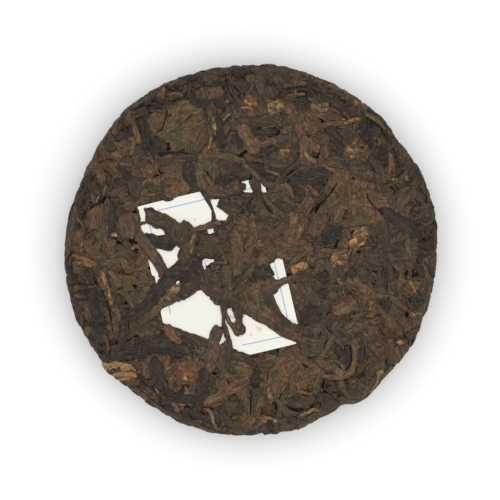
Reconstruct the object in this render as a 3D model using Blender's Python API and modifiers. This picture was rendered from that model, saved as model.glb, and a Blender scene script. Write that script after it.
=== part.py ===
"""A 100 g pressed cake of pu erh tea with its paper inner ticket, at its real size.

The cake is one solid of pressed leaves: a domed face, a rounded uneven rim, and a flat resting ring
round the dimple that the knot of the pressing cloth leaves in the back. The paper ticket lies in a thin
slot under the face. An open window shows most of it, and leaf strands that belong to the cake cross it.

Run it with: blender --background --python part.py
Origin: on the table, under the middle of the cake. +Z points up out of the domed face.
"""

import math
import random

import bmesh
import bpy
from mathutils import Matrix, Vector

MM = 0.001

# The pressed form.
CAKE_RADIUS = 54.8 * MM
CAKE_HEIGHT = 17.0 * MM
SHOULDER_RADIUS = 47.0 * MM  # where the domed face turns over into the rim
DOME_DROP = 2.5 * MM  # how much lower the face is there
RIM_MIDDLE = 7.6 * MM  # height of the widest line of the rim
RESTING_HEIGHT = 0.01 * MM  # what is lower than this belongs to the flat ring
RING_OUTER = 45.0 * MM  # the flat ring of the back that the cake rests on
RING_INNER = 17.0 * MM  # the dimple is inside it
DIMPLE_DEPTH = 6.0 * MM
TURN_STEPS = 84

# The outline isn't a true circle. Each entry is (angle, swell in mm, half width in degrees).
RIM_SWELLS = (
    (10, 0.5, 12),
    (35, -0.6, 8),
    (92, -0.4, 10),
    (127, 0.8, 15),
    (157, -0.6, 12),
    (202, 0.6, 8),
    (230, -0.6, 10),
    (297, -1.4, 7),
    (307, 0.3, 4),
    (340, 0.3, 8),
)

# Low relief of the leaves that the surface is pressed from.
LUMP_COUNT = 170
LUMP_LENGTH = (9.0 * MM, 24.0 * MM)
LUMP_HALF_WIDTH = (2.6 * MM, 4.6 * MM)
LUMP_LIFT = (0.25 * MM, 0.6 * MM)
LUMP_BED = -0.25 * MM  # the surface between the leaves
LUMP_SEED = 8
STEEPEST_UNDERSIDE = -0.5  # leaves are placed on what faces up or sideways more than this

# The paper ticket, and the slot and window that hold and show it. Heights are from the pressed face.
TICKET_SIZE = (38.7 * MM, 50.4 * MM)
TICKET_CENTRE = (-9.2 * MM, -7.3 * MM)
TICKET_TURN = math.radians(13.3)
TICKET_THICKNESS = 0.3 * MM
TICKET_TOP = -1.0 * MM
TICKET_CLEARANCE = 0.3 * MM
TICKET_STEPS = (9, 12)
SLOT_MARGIN = 0.4 * MM
WINDOW_MARGIN = 1.5 * MM
WINDOW_HEIGHT = 4.0 * MM

# Outline of the region where the ticket isn't under a closed layer of leaf, in mm.
WINDOW_OUTLINE = (
    (-34.2, 13.5),
    (-7.3, 19.7),
    (-6.1, 10.5),
    (-10.2, 7.0),
    (-16.2, 5.2),
    (-18.5, -3.7),
    (-13.8, -1.9),
    (-9.9, -3.1),
    (-13.2, -6.7),
    (-8.5, -15.0),
    (-1.3, -13.8),
    (5.2, -3.7),
    (10.5, -1.6),
    (15.6, -28.0),
    (0.0, -31.6),
    (-12.6, -27.1),
    (-26.8, -21.8),
)

# Leaf strands across the window, each as (x, y, half width) in mm along its middle line.
STRANDS = {
    "corner_leaf": ((-31.4, 12.3, 1.0), (-30.2, 10.4, 2.0), (-28.5, 8.8, 2.8), (-25.6, 8.2, 2.5),
                    (-23.4, 6.6, 2.6), (-21.8, 3.2, 2.4), (-21.2, -0.5, 2.0)),
    "torn_chunk": ((-32.3, 3.6, 1.2), (-29.8, 3.3, 2.2), (-26.8, 2.3, 2.3), (-24.5, 1.8, 2.7),
                   (-22.0, 2.6, 2.0)),
    "left_band": ((-36.0, 7.0, 1.4), (-31.8, 2.2, 1.7), (-29.9, -0.1, 1.8), (-27.6, -3.7, 1.9),
                  (-26.2, -6.5, 1.8), (-25.3, -9.5, 1.6)),
    "dark_strip": ((-36.5, -20.5, 2.0), (-31.0, -16.2, 2.5), (-28.0, -13.5, 2.6), (-25.6, -10.7, 2.6),
                   (-23.4, -8.0, 2.5), (-20.9, -5.8, 2.4), (-17.6, -4.9, 2.4), (-14.6, -4.4, 2.1)),
    "golden_strip": ((-32.0, -21.3, 0.8), (-29.2, -18.8, 0.9), (-26.2, -16.0, 1.1), (-23.6, -13.5, 1.4),
                     (-21.3, -11.4, 1.5), (-19.9, -9.3, 0.8)),
    "under_strip": ((-27.4, -17.3, 0.8), (-24.7, -15.3, 1.4), (-21.8, -13.6, 1.7), (-19.6, -12.2, 1.6)),
    "middle_left": ((-17.3, -5.7, 1.8), (-18.6, -10.5, 2.0), (-20.2, -13.8, 1.7)),
    "middle_right": ((-11.8, -6.3, 1.8), (-15.7, -10.1, 1.9), (-18.2, -11.9, 1.9), (-20.7, -13.7, 1.6)),
    "pointed_chunk": ((-13.0, -4.6, 2.0), (-12.8, -10.1, 2.4), (-10.5, -12.8, 2.4), (-8.4, -15.2, 2.2)),
    "upright_stem": ((-7.6, -11.0, 1.3), (-7.4, -16.5, 1.1), (-7.3, -20.5, 1.0), (-6.3, -24.3, 1.0),
                     (-6.0, -28.0, 1.0)),
    "loop_left_leg": ((-7.0, -18.6, 0.7), (-6.0, -21.8, 0.7), (-4.7, -24.0, 0.9), (-3.0, -25.0, 0.9)),
    "loop_right_leg": ((-3.4, -25.2, 0.9), (-2.1, -23.8, 1.0), (-2.4, -21.6, 1.1), (-3.3, -19.2, 1.3),
                       (-3.7, -16.3, 1.5), (-3.0, -12.0, 1.6)),
    "left_finger": ((-10.1, -22.9, 1.2), (-10.2, -24.6, 1.9), (-10.6, -28.0, 1.9), (-11.2, -31.5, 1.9)),
    "right_finger": ((-6.6, -25.5, 1.0), (-6.8, -29.0, 1.6), (-7.4, -33.0, 1.8)),
    "bent_twig": ((-16.6, 20.6, 0.9), (-13.8, 16.4, 0.8), (-12.0, 13.8, 0.7), (-11.0, 11.2, 0.7),
                  (-10.7, 8.6, 0.7), (-10.9, 6.6, 0.7)),
    "crumpled_tip": ((-9.9, 13.0, 0.8), (-8.0, 12.9, 1.4), (-5.5, 12.4, 2.0), (-2.5, 11.4, 2.2)),
    "red_strip": ((-17.6, 4.6, 0.8), (-15.6, 6.0, 0.9), (-13.2, 6.9, 0.9), (-11.0, 7.6, 1.0),
                  (-6.5, 7.2, 1.0)),
    "blunt_finger": ((-19.0, 8.3, 1.3), (-19.0, 6.6, 1.8), (-18.9, 3.8, 1.9), (-19.3, 0.8, 1.8),
                     (-20.0, -4.5, 1.7)),
    "wide_leaf": ((-2.4, -13.2, 2.4), (0.9, -16.5, 3.2), (4.4, -19.1, 3.2), (8.0, -22.0, 2.6),
                  (11.4, -24.4, 2.1), (15.2, -26.1, 1.8), (20.5, -27.3, 1.5)),
    "wide_leaf_edge": ((4.0, -10.6, 1.2), (5.5, -13.7, 1.4), (8.3, -19.0, 1.4), (10.3, -21.2, 1.3),
                       (13.8, -23.3, 1.2), (19.0, -25.4, 1.0)),
    "cross_strip": ((2.5, -14.0, 1.2), (5.6, -12.2, 1.4), (8.6, -10.3, 1.2), (11.6, -8.8, 1.1),
                    (17.5, -7.8, 1.3)),
    "round_leaf": ((-1.5, -7.4, 2.0), (2.0, -6.6, 2.6), (5.0, -6.6, 2.4), (6.6, -7.0, 1.6)),
}
STRAND_HALF_THICKNESS = 0.55 * MM
STRAND_SIDES = 8
STRAND_RING_SPACING = 2.4 * MM


def clear_scene():
    """Removes whatever objects the startup file brings."""
    for obj in list(bpy.data.objects):
        bpy.data.objects.remove(obj)


def new_collection(name):
    """A collection in the scene, by name."""
    made = bpy.data.collections.new(name)
    bpy.context.scene.collection.children.link(made)
    return made


def material(name, colour, roughness):
    """A plain Principled BSDF."""
    made = bpy.data.materials.new(name)
    made.use_nodes = True
    shader = made.node_tree.nodes["Principled BSDF"]
    shader.inputs["Base Color"].default_value = (*colour, 1.0)
    shader.inputs["Roughness"].default_value = roughness
    shader.inputs["Metallic"].default_value = 0.0
    return made


def object_from(name, mesh, collection, look=None):
    """An object of this mesh in this collection."""
    obj = bpy.data.objects.new(name, mesh)
    collection.objects.link(obj)
    if look:
        mesh.materials.append(look)
    return obj


def mark_as_cutter(obj):
    """Keeps a helper shape out of the finished part."""
    obj.hide_render = True
    obj.display_type = "WIRE"


def face_height(x, y):
    """Height of the domed pressed face over the table."""
    return CAKE_HEIGHT - DOME_DROP * (x * x + y * y) / SHOULDER_RADIUS**2


def cake_profile():
    """The turned section as (radius, height) points, from the middle of the face round to the dimple."""
    face_steps, rim_steps, ring_steps, dimple_steps = 14, 5, 5, 5
    points = []
    for i in range(face_steps + 1):
        radius = SHOULDER_RADIUS * i / face_steps
        points.append((radius, face_height(radius, 0.0)))
    shoulder = face_height(SHOULDER_RADIUS, 0.0)
    for i in range(1, rim_steps + 1):
        angle = math.pi / 2 * i / rim_steps
        radius = SHOULDER_RADIUS + (CAKE_RADIUS - SHOULDER_RADIUS) * math.sin(angle)
        points.append((radius, RIM_MIDDLE + (shoulder - RIM_MIDDLE) * math.cos(angle)))
    for i in range(1, rim_steps + 1):
        angle = math.pi / 2 * i / rim_steps
        radius = RING_OUTER + (CAKE_RADIUS - RING_OUTER) * math.cos(angle)
        points.append((radius, RIM_MIDDLE * (1 - math.sin(angle))))
    for i in range(1, ring_steps + 1):
        points.append((RING_OUTER + (RING_INNER - RING_OUTER) * i / ring_steps, 0.0))
    for i in range(1, dimple_steps + 1):
        share = i / dimple_steps
        rise = DIMPLE_DEPTH * (1 - math.cos(math.pi * share)) / 2
        points.append((RING_INNER * (1 - share), rise))
    return points


def turned_blank(collection):
    """The smooth turned cake, as a plain mesh made from a profile with a Screw modifier."""
    points = cake_profile()
    mesh = bpy.data.meshes.new("turned_profile")
    edges = [(i, i + 1) for i in range(len(points) - 1)]
    mesh.from_pydata([(r, 0.0, z) for r, z in points], edges, [])
    profile = object_from("turned_profile", mesh, collection)
    screw = profile.modifiers.new("turn", "SCREW")
    screw.axis = "Z"
    screw.steps = screw.render_steps = TURN_STEPS
    screw.use_merge_vertices = True
    screw.merge_threshold = 0.00001
    graph = bpy.context.evaluated_depsgraph_get()
    turned = bpy.data.meshes.new_from_object(profile.evaluated_get(graph))
    bpy.data.objects.remove(profile)
    return turned


def outline_scale(angle):
    """How far the rim stands out at this angle, as a share of the mean radius."""
    swell = 0.0
    for at, height, half_width in RIM_SWELLS:
        off = (math.degrees(angle) - at + 180) % 360 - 180
        swell += height * MM * math.exp(-((off / half_width) ** 2))
    return 1 + swell / CAKE_RADIUS


def leaf_lumps(mesh):
    """The pressed leaves of the surface, each as (start, end, half width, lift)."""
    chance = random.Random(LUMP_SEED)
    faces = [p for p in mesh.polygons if p.normal.z > STEEPEST_UNDERSIDE or p.center.z > RESTING_HEIGHT]
    areas = [p.area for p in faces]
    lumps = []
    for face in chance.choices(faces, weights=areas, k=LUMP_COUNT):
        across = Vector((chance.gauss(0, 1), chance.gauss(0, 1), chance.gauss(0, 1)))
        along = across.cross(face.normal).normalized()
        half = along * chance.uniform(*LUMP_LENGTH) / 2
        width = chance.uniform(*LUMP_HALF_WIDTH)
        lift = chance.uniform(*LUMP_LIFT)
        lumps.append((face.center - half, face.center + half, width, lift))
    return lumps


def lump_height(point, lumps):
    """Relief at a surface point: the highest leaf that covers it, or the bed between leaves."""
    height = 0.0
    for start, end, width, lift in lumps:
        span = end - start
        share = max(0.0, min(1.0, (point - start).dot(span) / span.length_squared))
        off = (point - start - span * share).length / width
        if off < 1.0:
            height = max(height, lift * (1 - off * off))
    return LUMP_BED + height


def pressed_blank(collection, look):
    """The cake before the ticket's slot is cut: the turned blank with its uneven outline and leaf relief."""
    mesh = turned_blank(collection)
    lumps = leaf_lumps(mesh)
    normals = [v.normal.copy() for v in mesh.vertices]
    for vertex, normal in zip(mesh.vertices, normals):
        point = vertex.co.copy()
        if point.z > RESTING_HEIGHT:
            point += normal * lump_height(vertex.co, lumps)
            point.z = max(point.z, 0.0)
        swell = outline_scale(math.atan2(point.y, point.x))
        vertex.co = Vector((point.x * swell, point.y * swell, point.z))
    cake = object_from("pressed_tea", mesh, collection, look)
    mesh.shade_smooth()
    mesh.set_sharp_from_angle(angle=math.radians(40))
    return cake


def draped_sheet(name, collection, size, bottom, thickness):
    """A rectangular sheet over the ticket's place, bent to the domed face. Heights are from that face."""
    mesh = bpy.data.meshes.new(name)
    form = bmesh.new()
    bmesh.ops.create_grid(form, x_segments=TICKET_STEPS[0], y_segments=TICKET_STEPS[1], size=0.5)
    place = (
        Matrix.Translation((*TICKET_CENTRE, 0.0))
        @ Matrix.Rotation(TICKET_TURN, 4, "Z")
        @ Matrix.Diagonal((*size, 1.0, 1.0))
    )
    bmesh.ops.transform(form, matrix=place, verts=form.verts)
    for vertex in form.verts:
        vertex.co.z = face_height(vertex.co.x, vertex.co.y) + bottom
    form.to_mesh(mesh)
    form.free()
    sheet = object_from(name, mesh, collection)
    wall = sheet.modifiers.new("thickness", "SOLIDIFY")
    wall.thickness = thickness
    wall.offset = 1.0
    return sheet


def ticket_size(margin):
    """The ticket's width and height with this much added all round."""
    return tuple(side + 2 * margin for side in TICKET_SIZE)


def window_prism(collection):
    """An upright prism over the open region, as a flat filled curve that is extruded and made a mesh."""
    curve = bpy.data.curves.new("window_prism", "CURVE")
    curve.dimensions = "2D"
    curve.fill_mode = "BOTH"
    curve.extrude = CAKE_HEIGHT
    line = curve.splines.new("POLY")
    line.points.add(len(WINDOW_OUTLINE) - 1)
    for point, (x, y) in zip(line.points, WINDOW_OUTLINE):
        point.co = (x * MM, y * MM, 0.0, 1.0)
    line.use_cyclic_u = True
    flat = object_from("window_prism", curve, collection)
    graph = bpy.context.evaluated_depsgraph_get()
    mesh = bpy.data.meshes.new_from_object(flat.evaluated_get(graph))
    mesh.transform(Matrix.Translation((0.0, 0.0, CAKE_HEIGHT)))
    bpy.data.objects.remove(flat)
    form = bmesh.new()
    form.from_mesh(mesh)
    bmesh.ops.remove_doubles(form, verts=form.verts, dist=0.01 * MM)
    bmesh.ops.recalc_face_normals(form, faces=form.faces)
    form.to_mesh(mesh)
    form.free()
    return object_from("window_prism", mesh, collection)


def boolean(obj, other, operation):
    """Joins or cuts obj with another mesh object."""
    modifier = obj.modifiers.new(f"{operation.lower()}_{other.name}", "BOOLEAN")
    modifier.operation = operation
    modifier.object = other


def smooth_line(points, spacing):
    """Points at about this spacing on a Catmull-Rom curve through the given (x, y, half width) points."""
    line = [Vector(p) * MM for p in points]
    line = [2 * line[0] - line[1], *line, 2 * line[-1] - line[-2]]
    placed = []
    for before, start, end, after in zip(line, line[1:], line[2:], line[3:]):
        steps = max(1, round((end - start).length / spacing))
        for i in range(steps):
            t = i / steps
            placed.append(
                0.5
                * (
                    2 * start
                    + (end - before) * t
                    + (2 * before - 5 * start + 4 * end - after) * t**2
                    + (3 * start - before - 3 * end + after) * t**3
                )
            )
    placed.append(line[-2])
    return placed


def leaf_strand(name, points, collection):
    """A flattened leaf strand that lies over the ticket: a loft of oval rings along its middle line."""
    line = smooth_line(points, STRAND_RING_SPACING)
    middle = TICKET_TOP + TICKET_CLEARANCE + STRAND_HALF_THICKNESS
    form = bmesh.new()
    rings = []
    for i, at in enumerate(line):
        ahead = line[min(i + 1, len(line) - 1)] - line[max(i - 1, 0)]
        side = Vector((-ahead.y, ahead.x)).normalized()
        ring = []
        for k in range(STRAND_SIDES):
            angle = 2 * math.pi * k / STRAND_SIDES
            x = at.x + side.x * at.z * math.cos(angle)
            y = at.y + side.y * at.z * math.cos(angle)
            rise = middle + STRAND_HALF_THICKNESS * math.sin(angle)
            ring.append(form.verts.new((x, y, face_height(x, y) + rise)))
        rings.append(ring)
    for near, far in zip(rings, rings[1:]):
        for k in range(STRAND_SIDES):
            form.faces.new((near[k], near[k - 1], far[k - 1], far[k]))
    form.faces.new(rings[0])
    form.faces.new(rings[-1])
    bmesh.ops.recalc_face_normals(form, faces=form.faces)
    mesh = bpy.data.meshes.new(name)
    form.to_mesh(mesh)
    form.free()
    return object_from(name, mesh, collection)


def build():
    """Makes the two parts: the pressed tea and the ticket inside it."""
    clear_scene()
    parts = new_collection("pu_erh_tea_cake")
    cutters = new_collection("cutters_and_joined_shapes")
    tea = material("pressed_tea_leaf", (0.068, 0.047, 0.033), 0.75)
    paper = material("ticket_paper", (0.87, 0.84, 0.76), 0.85)

    cake = pressed_blank(parts, tea)
    slot_bottom = TICKET_TOP - TICKET_THICKNESS - TICKET_CLEARANCE
    slot_height = TICKET_THICKNESS + 2 * TICKET_CLEARANCE
    slot = draped_sheet("ticket_slot", cutters, ticket_size(SLOT_MARGIN), slot_bottom, slot_height)
    window_bottom = slot_bottom + slot_height / 2
    window = draped_sheet("ticket_window", cutters, ticket_size(WINDOW_MARGIN), window_bottom, WINDOW_HEIGHT)
    prism = window_prism(cutters)
    boolean(window, prism, "INTERSECT")
    boolean(cake, slot, "DIFFERENCE")
    boolean(cake, window, "DIFFERENCE")
    helpers = [slot, window, prism]
    for name, points in STRANDS.items():
        strand = leaf_strand(name, points, cutters)
        boolean(cake, strand, "UNION")
        helpers.append(strand)
    for helper in helpers:
        mark_as_cutter(helper)

    ticket_bottom = TICKET_TOP - TICKET_THICKNESS
    ticket = draped_sheet("inner_ticket", parts, TICKET_SIZE, ticket_bottom, TICKET_THICKNESS)
    ticket.data.materials.append(paper)


build()
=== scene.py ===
# %% [markdown]
# # A pressed cake of pu erh tea
# A pu erh cake is loose tea that was steamed until soft and pressed in a mould into a domed disc. It isn't
# a lump with a leafy skin: it is made of leaves all the way through, and each leaf has been flattened onto
# the ones below. This lesson builds it the same way. Leaves are laid one after another onto a bed, each one
# draped over what is already there, and at the end a press squeezes the whole pile level.

# %% Load the measured frame
import math

import bpy
import numpy as np
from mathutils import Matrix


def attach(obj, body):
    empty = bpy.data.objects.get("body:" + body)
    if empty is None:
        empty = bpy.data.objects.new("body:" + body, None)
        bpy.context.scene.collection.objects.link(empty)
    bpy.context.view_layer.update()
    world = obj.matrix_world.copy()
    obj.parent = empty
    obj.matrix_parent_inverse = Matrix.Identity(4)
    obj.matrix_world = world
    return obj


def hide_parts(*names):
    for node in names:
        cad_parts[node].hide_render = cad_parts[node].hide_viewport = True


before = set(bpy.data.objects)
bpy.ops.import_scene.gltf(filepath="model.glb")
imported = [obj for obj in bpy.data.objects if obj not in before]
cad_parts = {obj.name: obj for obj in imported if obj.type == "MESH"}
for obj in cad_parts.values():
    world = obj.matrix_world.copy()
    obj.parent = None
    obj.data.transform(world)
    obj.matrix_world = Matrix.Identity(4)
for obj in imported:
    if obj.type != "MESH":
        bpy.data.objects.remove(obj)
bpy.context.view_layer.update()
MM = 0.001

# %% [markdown]
# ## The form of the cake
# All the leaves lie on one turned surface: a domed face, a rounded rim and a flat back with a dimple, where
# the knot of the pressing cloth sat. Lengths are in millimetres until a mesh is made. The surface is
# described by its section: how far out and how high you are after walking some distance from the middle
# of the face, over the rim, to the middle of the back.

# %% The section
CAKE_RADIUS = 54.8
CAKE_HEIGHT = 17.0
SHOULDER_RADIUS = 47.0
DOME_DROP = 2.5
RIM_MIDDLE = 7.6
RING_OUTER = 45.0
RING_INNER = 17.0
DIMPLE_DEPTH = 6.0


def section_points():
    """Radius and height along the section, from the middle of the face to the middle of the back."""
    face = np.linspace(0, SHOULDER_RADIUS, 200)
    face_z = CAKE_HEIGHT - DOME_DROP * (face / SHOULDER_RADIUS) ** 2
    turn = np.linspace(0, np.pi / 2, 60)[1:]
    upper = SHOULDER_RADIUS + (CAKE_RADIUS - SHOULDER_RADIUS) * np.sin(turn)
    upper_z = RIM_MIDDLE + (face_z[-1] - RIM_MIDDLE) * np.cos(turn)
    lower = RING_OUTER + (CAKE_RADIUS - RING_OUTER) * np.cos(turn)
    lower_z = RIM_MIDDLE * (1 - np.sin(turn))
    ring = np.linspace(RING_OUTER, RING_INNER, 100)[1:]
    share = np.linspace(0, 1, 80)[1:]
    dimple = RING_INNER * (1 - share)
    dimple_z = DIMPLE_DEPTH * (1 - np.cos(np.pi * share)) / 2
    radius = np.concatenate([face, upper, lower, ring, dimple])
    height = np.concatenate([face_z, upper_z, lower_z, np.zeros(len(ring)), dimple_z])
    return radius, height


section_r, section_z = section_points()
steps = np.hypot(np.diff(section_r), np.diff(section_z))
section_walk = np.concatenate([[0], np.cumsum(steps)])
WHOLE_WALK = section_walk[-1]
out_r = -np.gradient(section_z, section_walk)
out_z = np.gradient(section_r, section_walk)
print(f"from the middle of the face to the middle of the back: {WHOLE_WALK:.1f} mm")

# %% [markdown]
# The outline of a pressed cake is never a true circle. A few broad swells and one chipped place make it
# uneven. They fade towards the middle, so that they move the rim but not the leaves of the face.

# %% The uneven outline
RIM_SWELLS = (  # angle in degrees, swell in mm, half width in degrees
    (3, 0.3, 10),
    (14, 0.7, 12),
    (28, 0.4, 8),
    (35, -0.6, 8),
    (44, 0.5, 6),
    (83, 0.4, 6),
    (92, -0.4, 10),
    (125, 0.6, 14),
    (148, -0.7, 9),
    (160, -0.7, 8),
    (172, -0.3, 8),
    (203, 0.4, 9),
    (213, -0.4, 5),
    (220, 0.7, 4),
    (232, -0.7, 8),
    (260, 0.3, 8),
    (272, -0.3, 5),
    (296, -1.2, 6),
    (301, -1.0, 2.5),
    (308, 0.8, 4),
    (330, 0.6, 7),
    (345, 0.4, 8),
)
SWELLS_START = 30.0  # radius from which the swells set in


def outline_scale(radius, angle):
    """How much the uneven outline pushes a point outwards, as a factor."""
    swell = np.zeros_like(angle)
    for at, height, half_width in RIM_SWELLS:
        off = (np.degrees(angle) - at + 180) % 360 - 180
        swell += height * np.exp(-((off / half_width) ** 2))
    share = np.clip((radius - SWELLS_START) / (CAKE_RADIUS - SWELLS_START), 0, 1)
    return 1 + share * swell / CAKE_RADIUS


# %% [markdown]
# ## Two flat charts for a round cake
# Leaves are easier to lay on a flat table than on a curved cake. So the cake gets two flat charts, one that
# starts in the middle of the face and one that starts in the middle of the back, as a globe has two polar
# maps. A point's distance from the chart's middle is the walk along the section, and its direction is the
# direction on the cake. Both charts reach past the rim and overlap there.

# %% From a chart to the cake
CHART_REACH = 68.0
CELL = 0.25
CELLS = int(2 * CHART_REACH / CELL) + 1
SOLE = 0.35  # what would come lower than this is squeezed flat by the cake's weight, and stays over 0


def on_cake(side, u, v, lift):
    """Positions, in mm, of chart points that are lifted off the cake's surface by this much."""
    walk = np.hypot(u, v)
    angle = np.arctan2(v, u)
    if side == "back":
        walk = WHOLE_WALK - walk
    radius = np.interp(walk, section_walk, section_r)
    radius = radius + lift * np.interp(walk, section_walk, out_r)
    height = np.interp(walk, section_walk, section_z) + lift * np.interp(walk, section_walk, out_z)
    radius = radius * outline_scale(radius, angle)
    height = np.where(height < SOLE, SOLE * np.exp(np.minimum(height / SOLE, 1) - 1), height)
    return np.stack([radius * np.cos(angle), radius * np.sin(angle), height], -1)


axis = np.linspace(-CHART_REACH, CHART_REACH, CELLS)
grid_u, grid_v = np.meshgrid(axis, axis, indexing="xy")
print(f"each chart is a grid of {CELLS} by {CELLS} cells")

# %% [markdown]
# ## Noise and smoothing
# Nothing on a leaf is regular. One small table of random numbers, read with a smooth blend between its
# cells, gives wrinkles, ragged edges and uneven tones at any size. It is seeded, so each run is the same.

# %% Smooth noise and blurring
chance = np.random.default_rng(11)
NOISE_TABLE = chance.random((256, 256))


def noise(x, y=0.0, seed=0):
    """Smooth random numbers from -1 to 1. One unit of x or y is about one bump."""
    x = np.asarray(x, float) + 37.7 * seed
    y = np.asarray(y, float) + 91.3 * seed
    left, low = np.floor(x).astype(int), np.floor(y).astype(int)
    across, up = x - left, y - low
    across, up = across * across * (3 - 2 * across), up * up * (3 - 2 * up)
    corner = [NOISE_TABLE[(left + i) & 255, (low + j) & 255] for i in (0, 1) for j in (0, 1)]
    start = corner[0] * (1 - up) + corner[1] * up
    end = corner[2] * (1 - up) + corner[3] * up
    return 2 * (start * (1 - across) + end * across) - 1


def blurred(grid, radius):
    """The grid smoothed over this many mm, by three passes of a running mean each way."""
    half = max(1, round(radius / CELL))
    for _ in range(3):
        for turn in range(2):
            padded = np.pad(grid, ((half + 1, half), (0, 0)), mode="edge")
            total = np.cumsum(padded, axis=0)
            grid = ((total[2 * half + 1 :] - total[: -2 * half - 1]) / (2 * half + 1)).T
    return grid


def read_grid(grid, u, v):
    """The grid's value at chart points, blended between cells."""
    x = np.clip((u + CHART_REACH) / CELL, 0, CELLS - 1.001)
    y = np.clip((v + CHART_REACH) / CELL, 0, CELLS - 1.001)
    left, low = x.astype(int), y.astype(int)
    across, up = x - left, y - low
    near = grid[low, left] * (1 - across) + grid[low, left + 1] * across
    far = grid[low + 1, left] * (1 - across) + grid[low + 1, left + 1] * across
    return near * (1 - up) + far * up


# %% [markdown]
# ## Tones
# Ripe tea is near black to warm brown, with a few olive leaves, reddish ones, and the golden tips that
# were the buds. Each leaf carries its own tone, as an attribute on its mesh that the material reads, so
# one material serves thousands of leaves.

# %% The palette
TONES = {
    # near black, only for the strips of painted shadow in the crevices
    "shadow_black": (26, 20, 15),
    "black": (54, 49, 44),
    "near_black": (58, 50, 44),
    "dark": (70, 61, 49),
    "brown": (83, 70, 55),
    "warm": (94, 75, 56),
    "olive": (89, 77, 56),
    "red": (96, 73, 56),
    "rust": (107, 80, 57),
    "tan": (121, 102, 75),
    "golden": (136, 113, 74),
    "orange": (150, 113, 76),
}
COMMON_TONES = ("near_black", "dark", "brown", "warm", "olive", "rust", "tan")
COMMON_SHARES = {  # of large and of small leaves
    "large": (0.16, 0.37, 0.33, 0.13, 0.01, 0.0, 0.0),
    "small": (0.16, 0.34, 0.29, 0.13, 0.06, 0.01, 0.01),
}
TONE_SPREAD = 0.07  # how much leaves of one tone differ in brightness
REGION = 7.0  # mm over which neighbouring leaves tend to one tone
LIKENESS = 0.74  # how strong that tendency is, from 0 to 1
NOISE_SPREAD = 0.35  # standard deviation of noise()


def linear_colour(screen):
    """A colour as Blender's shaders want it, from the 0 to 255 numbers of a colour picker."""
    share = np.array(screen, float) / 255
    return np.where(share <= 0.04045, share / 12.92, ((share + 0.055) / 1.055) ** 2.4)


TONE_COLOURS = {name: linear_colour(screen) for name, screen in TONES.items()}
print({name: [round(float(c), 3) for c in colour] for name, colour in TONE_COLOURS.items()})

# %% [markdown]
# ## Kinds of leaf
# Broad leaves lie flat with a few folds. Folded and rolled ones are narrower and thicker, because the
# leaf was twisted before it was pressed. Stems are thin and even, tips are short and pointed, and scraps
# fill the gaps. Each kind is a handful of sizes in millimetres.

# %% Sizes of each kind
LEAF_KINDS = {
    "broad": dict(half_width=(1.8, 4.4), length=(9, 24), thickness=(0.30, 0.45), pleats=2.6, pleat=0.20,
                  crumple=0.16, ragged=0.30, point=0.5, blunt=0.45, squareness=2.6, wedge=0.85),
    "folded": dict(half_width=(1.2, 2.4), length=(11, 27), thickness=(0.38, 0.55), pleats=2.4, pleat=0.28,
                   crumple=0.12, ragged=0.22, point=0.8, blunt=0.35, squareness=2.3, wedge=0.6),
    "rolled": dict(half_width=(0.7, 1.3), length=(11, 26), thickness=(0.45, 0.65), pleats=1.6, pleat=0.22,
                   crumple=0.09, ragged=0.16, point=1.0, blunt=0.3, squareness=2.0, wedge=0.5),
    "stem": dict(half_width=(0.35, 0.6), length=(5, 16), thickness=(0.45, 0.6), pleats=0.8, pleat=0.05,
                 crumple=0.05, ragged=0.12, point=0.4, blunt=0.6, squareness=2.0, wedge=0.5),
    "tip": dict(half_width=(0.4, 0.9), length=(3, 8), thickness=(0.35, 0.5), pleats=1.4, pleat=0.12,
                crumple=0.10, ragged=0.42, point=1.2, blunt=0.3, squareness=2.2, wedge=0.6),
    "chip": dict(half_width=(0.2, 0.5), length=(1.2, 4.0), thickness=(0.05, 0.11), pleats=0.0, pleat=0.0,
                 crumple=0.05, ragged=0.55, point=1.0, blunt=0.2, squareness=3.0, wedge=0.7),
    # thin near-black strips that lie in the crevices as painted shadow
    "shadow_strip": dict(half_width=(0.12, 0.2), length=(2, 8), thickness=(0.08, 0.12), pleats=0.0, pleat=0.0,
                  crumple=0.0, ragged=0.9, point=3.0, blunt=0.1, squareness=2.0, wedge=0.6),
    "scrap": dict(half_width=(0.7, 1.8), length=(2.2, 6), thickness=(0.22, 0.36), pleats=1.5, pleat=0.08,
                  crumple=0.14, ragged=0.42, point=0.35, blunt=0.6, squareness=2.6, wedge=0.8),
}

# %% [markdown]
# ## One leaf
# A leaf is a strip along a curved middle line. Its sides wander, its ends close, and its upper side has
# pleats along it and crumples across it. To drape it, the bed's height is read under each of its points
# and smoothed a little, because a leaf is stiffer than what it covers. Then its shape is written back
# into the bed, for the next leaf to lie on.

# %% Middle lines
STATION = 0.65  # spacing of the cross-sections along a leaf
BACK_STATION = 0.8  # the same on the back, which is rarely seen
FINE = 0.2  # spacing at which a leaf is written into the bed


def smooth_line(points, spacing):
    """Points at about this spacing on a smooth curve through the given ones, which may carry a width."""
    line = np.array(points, float)
    line = np.vstack([2 * line[0] - line[1], line, 2 * line[-1] - line[-2]])
    placed = []
    for before, start, end, after in zip(line, line[1:], line[2:], line[3:]):
        count = max(1, round(float(np.hypot(*(end - start)[:2])) / spacing))
        t = (np.arange(count) / count)[:, None]
        placed.append(
            start
            + (end - before) * t / 2
            + (before - 2.5 * start + 2 * end - after / 2) * t**2
            + (1.5 * (start - end) + (after - before) / 2) * t**3
        )
    return np.vstack([*placed, line[-2:-1]])


def random_line(u, v, length, direction, half_width):
    """A gently bent middle line with its middle at (u, v)."""
    bend = chance.normal(0, 0.035)
    walk = np.linspace(-0.5, 0.5, 5) * length
    heading = direction + bend * walk + chance.normal(0, 0.12, 5)
    step = length / 4
    du = np.concatenate([[0], np.cumsum(np.cos(heading[:-1]) * step)])
    dv = np.concatenate([[0], np.cumsum(np.sin(heading[:-1]) * step)])
    widths = half_width * (1 + chance.normal(0, 0.12, 5))
    return np.stack([u + du - du[2], v + dv - dv[2], widths], 1)


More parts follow.
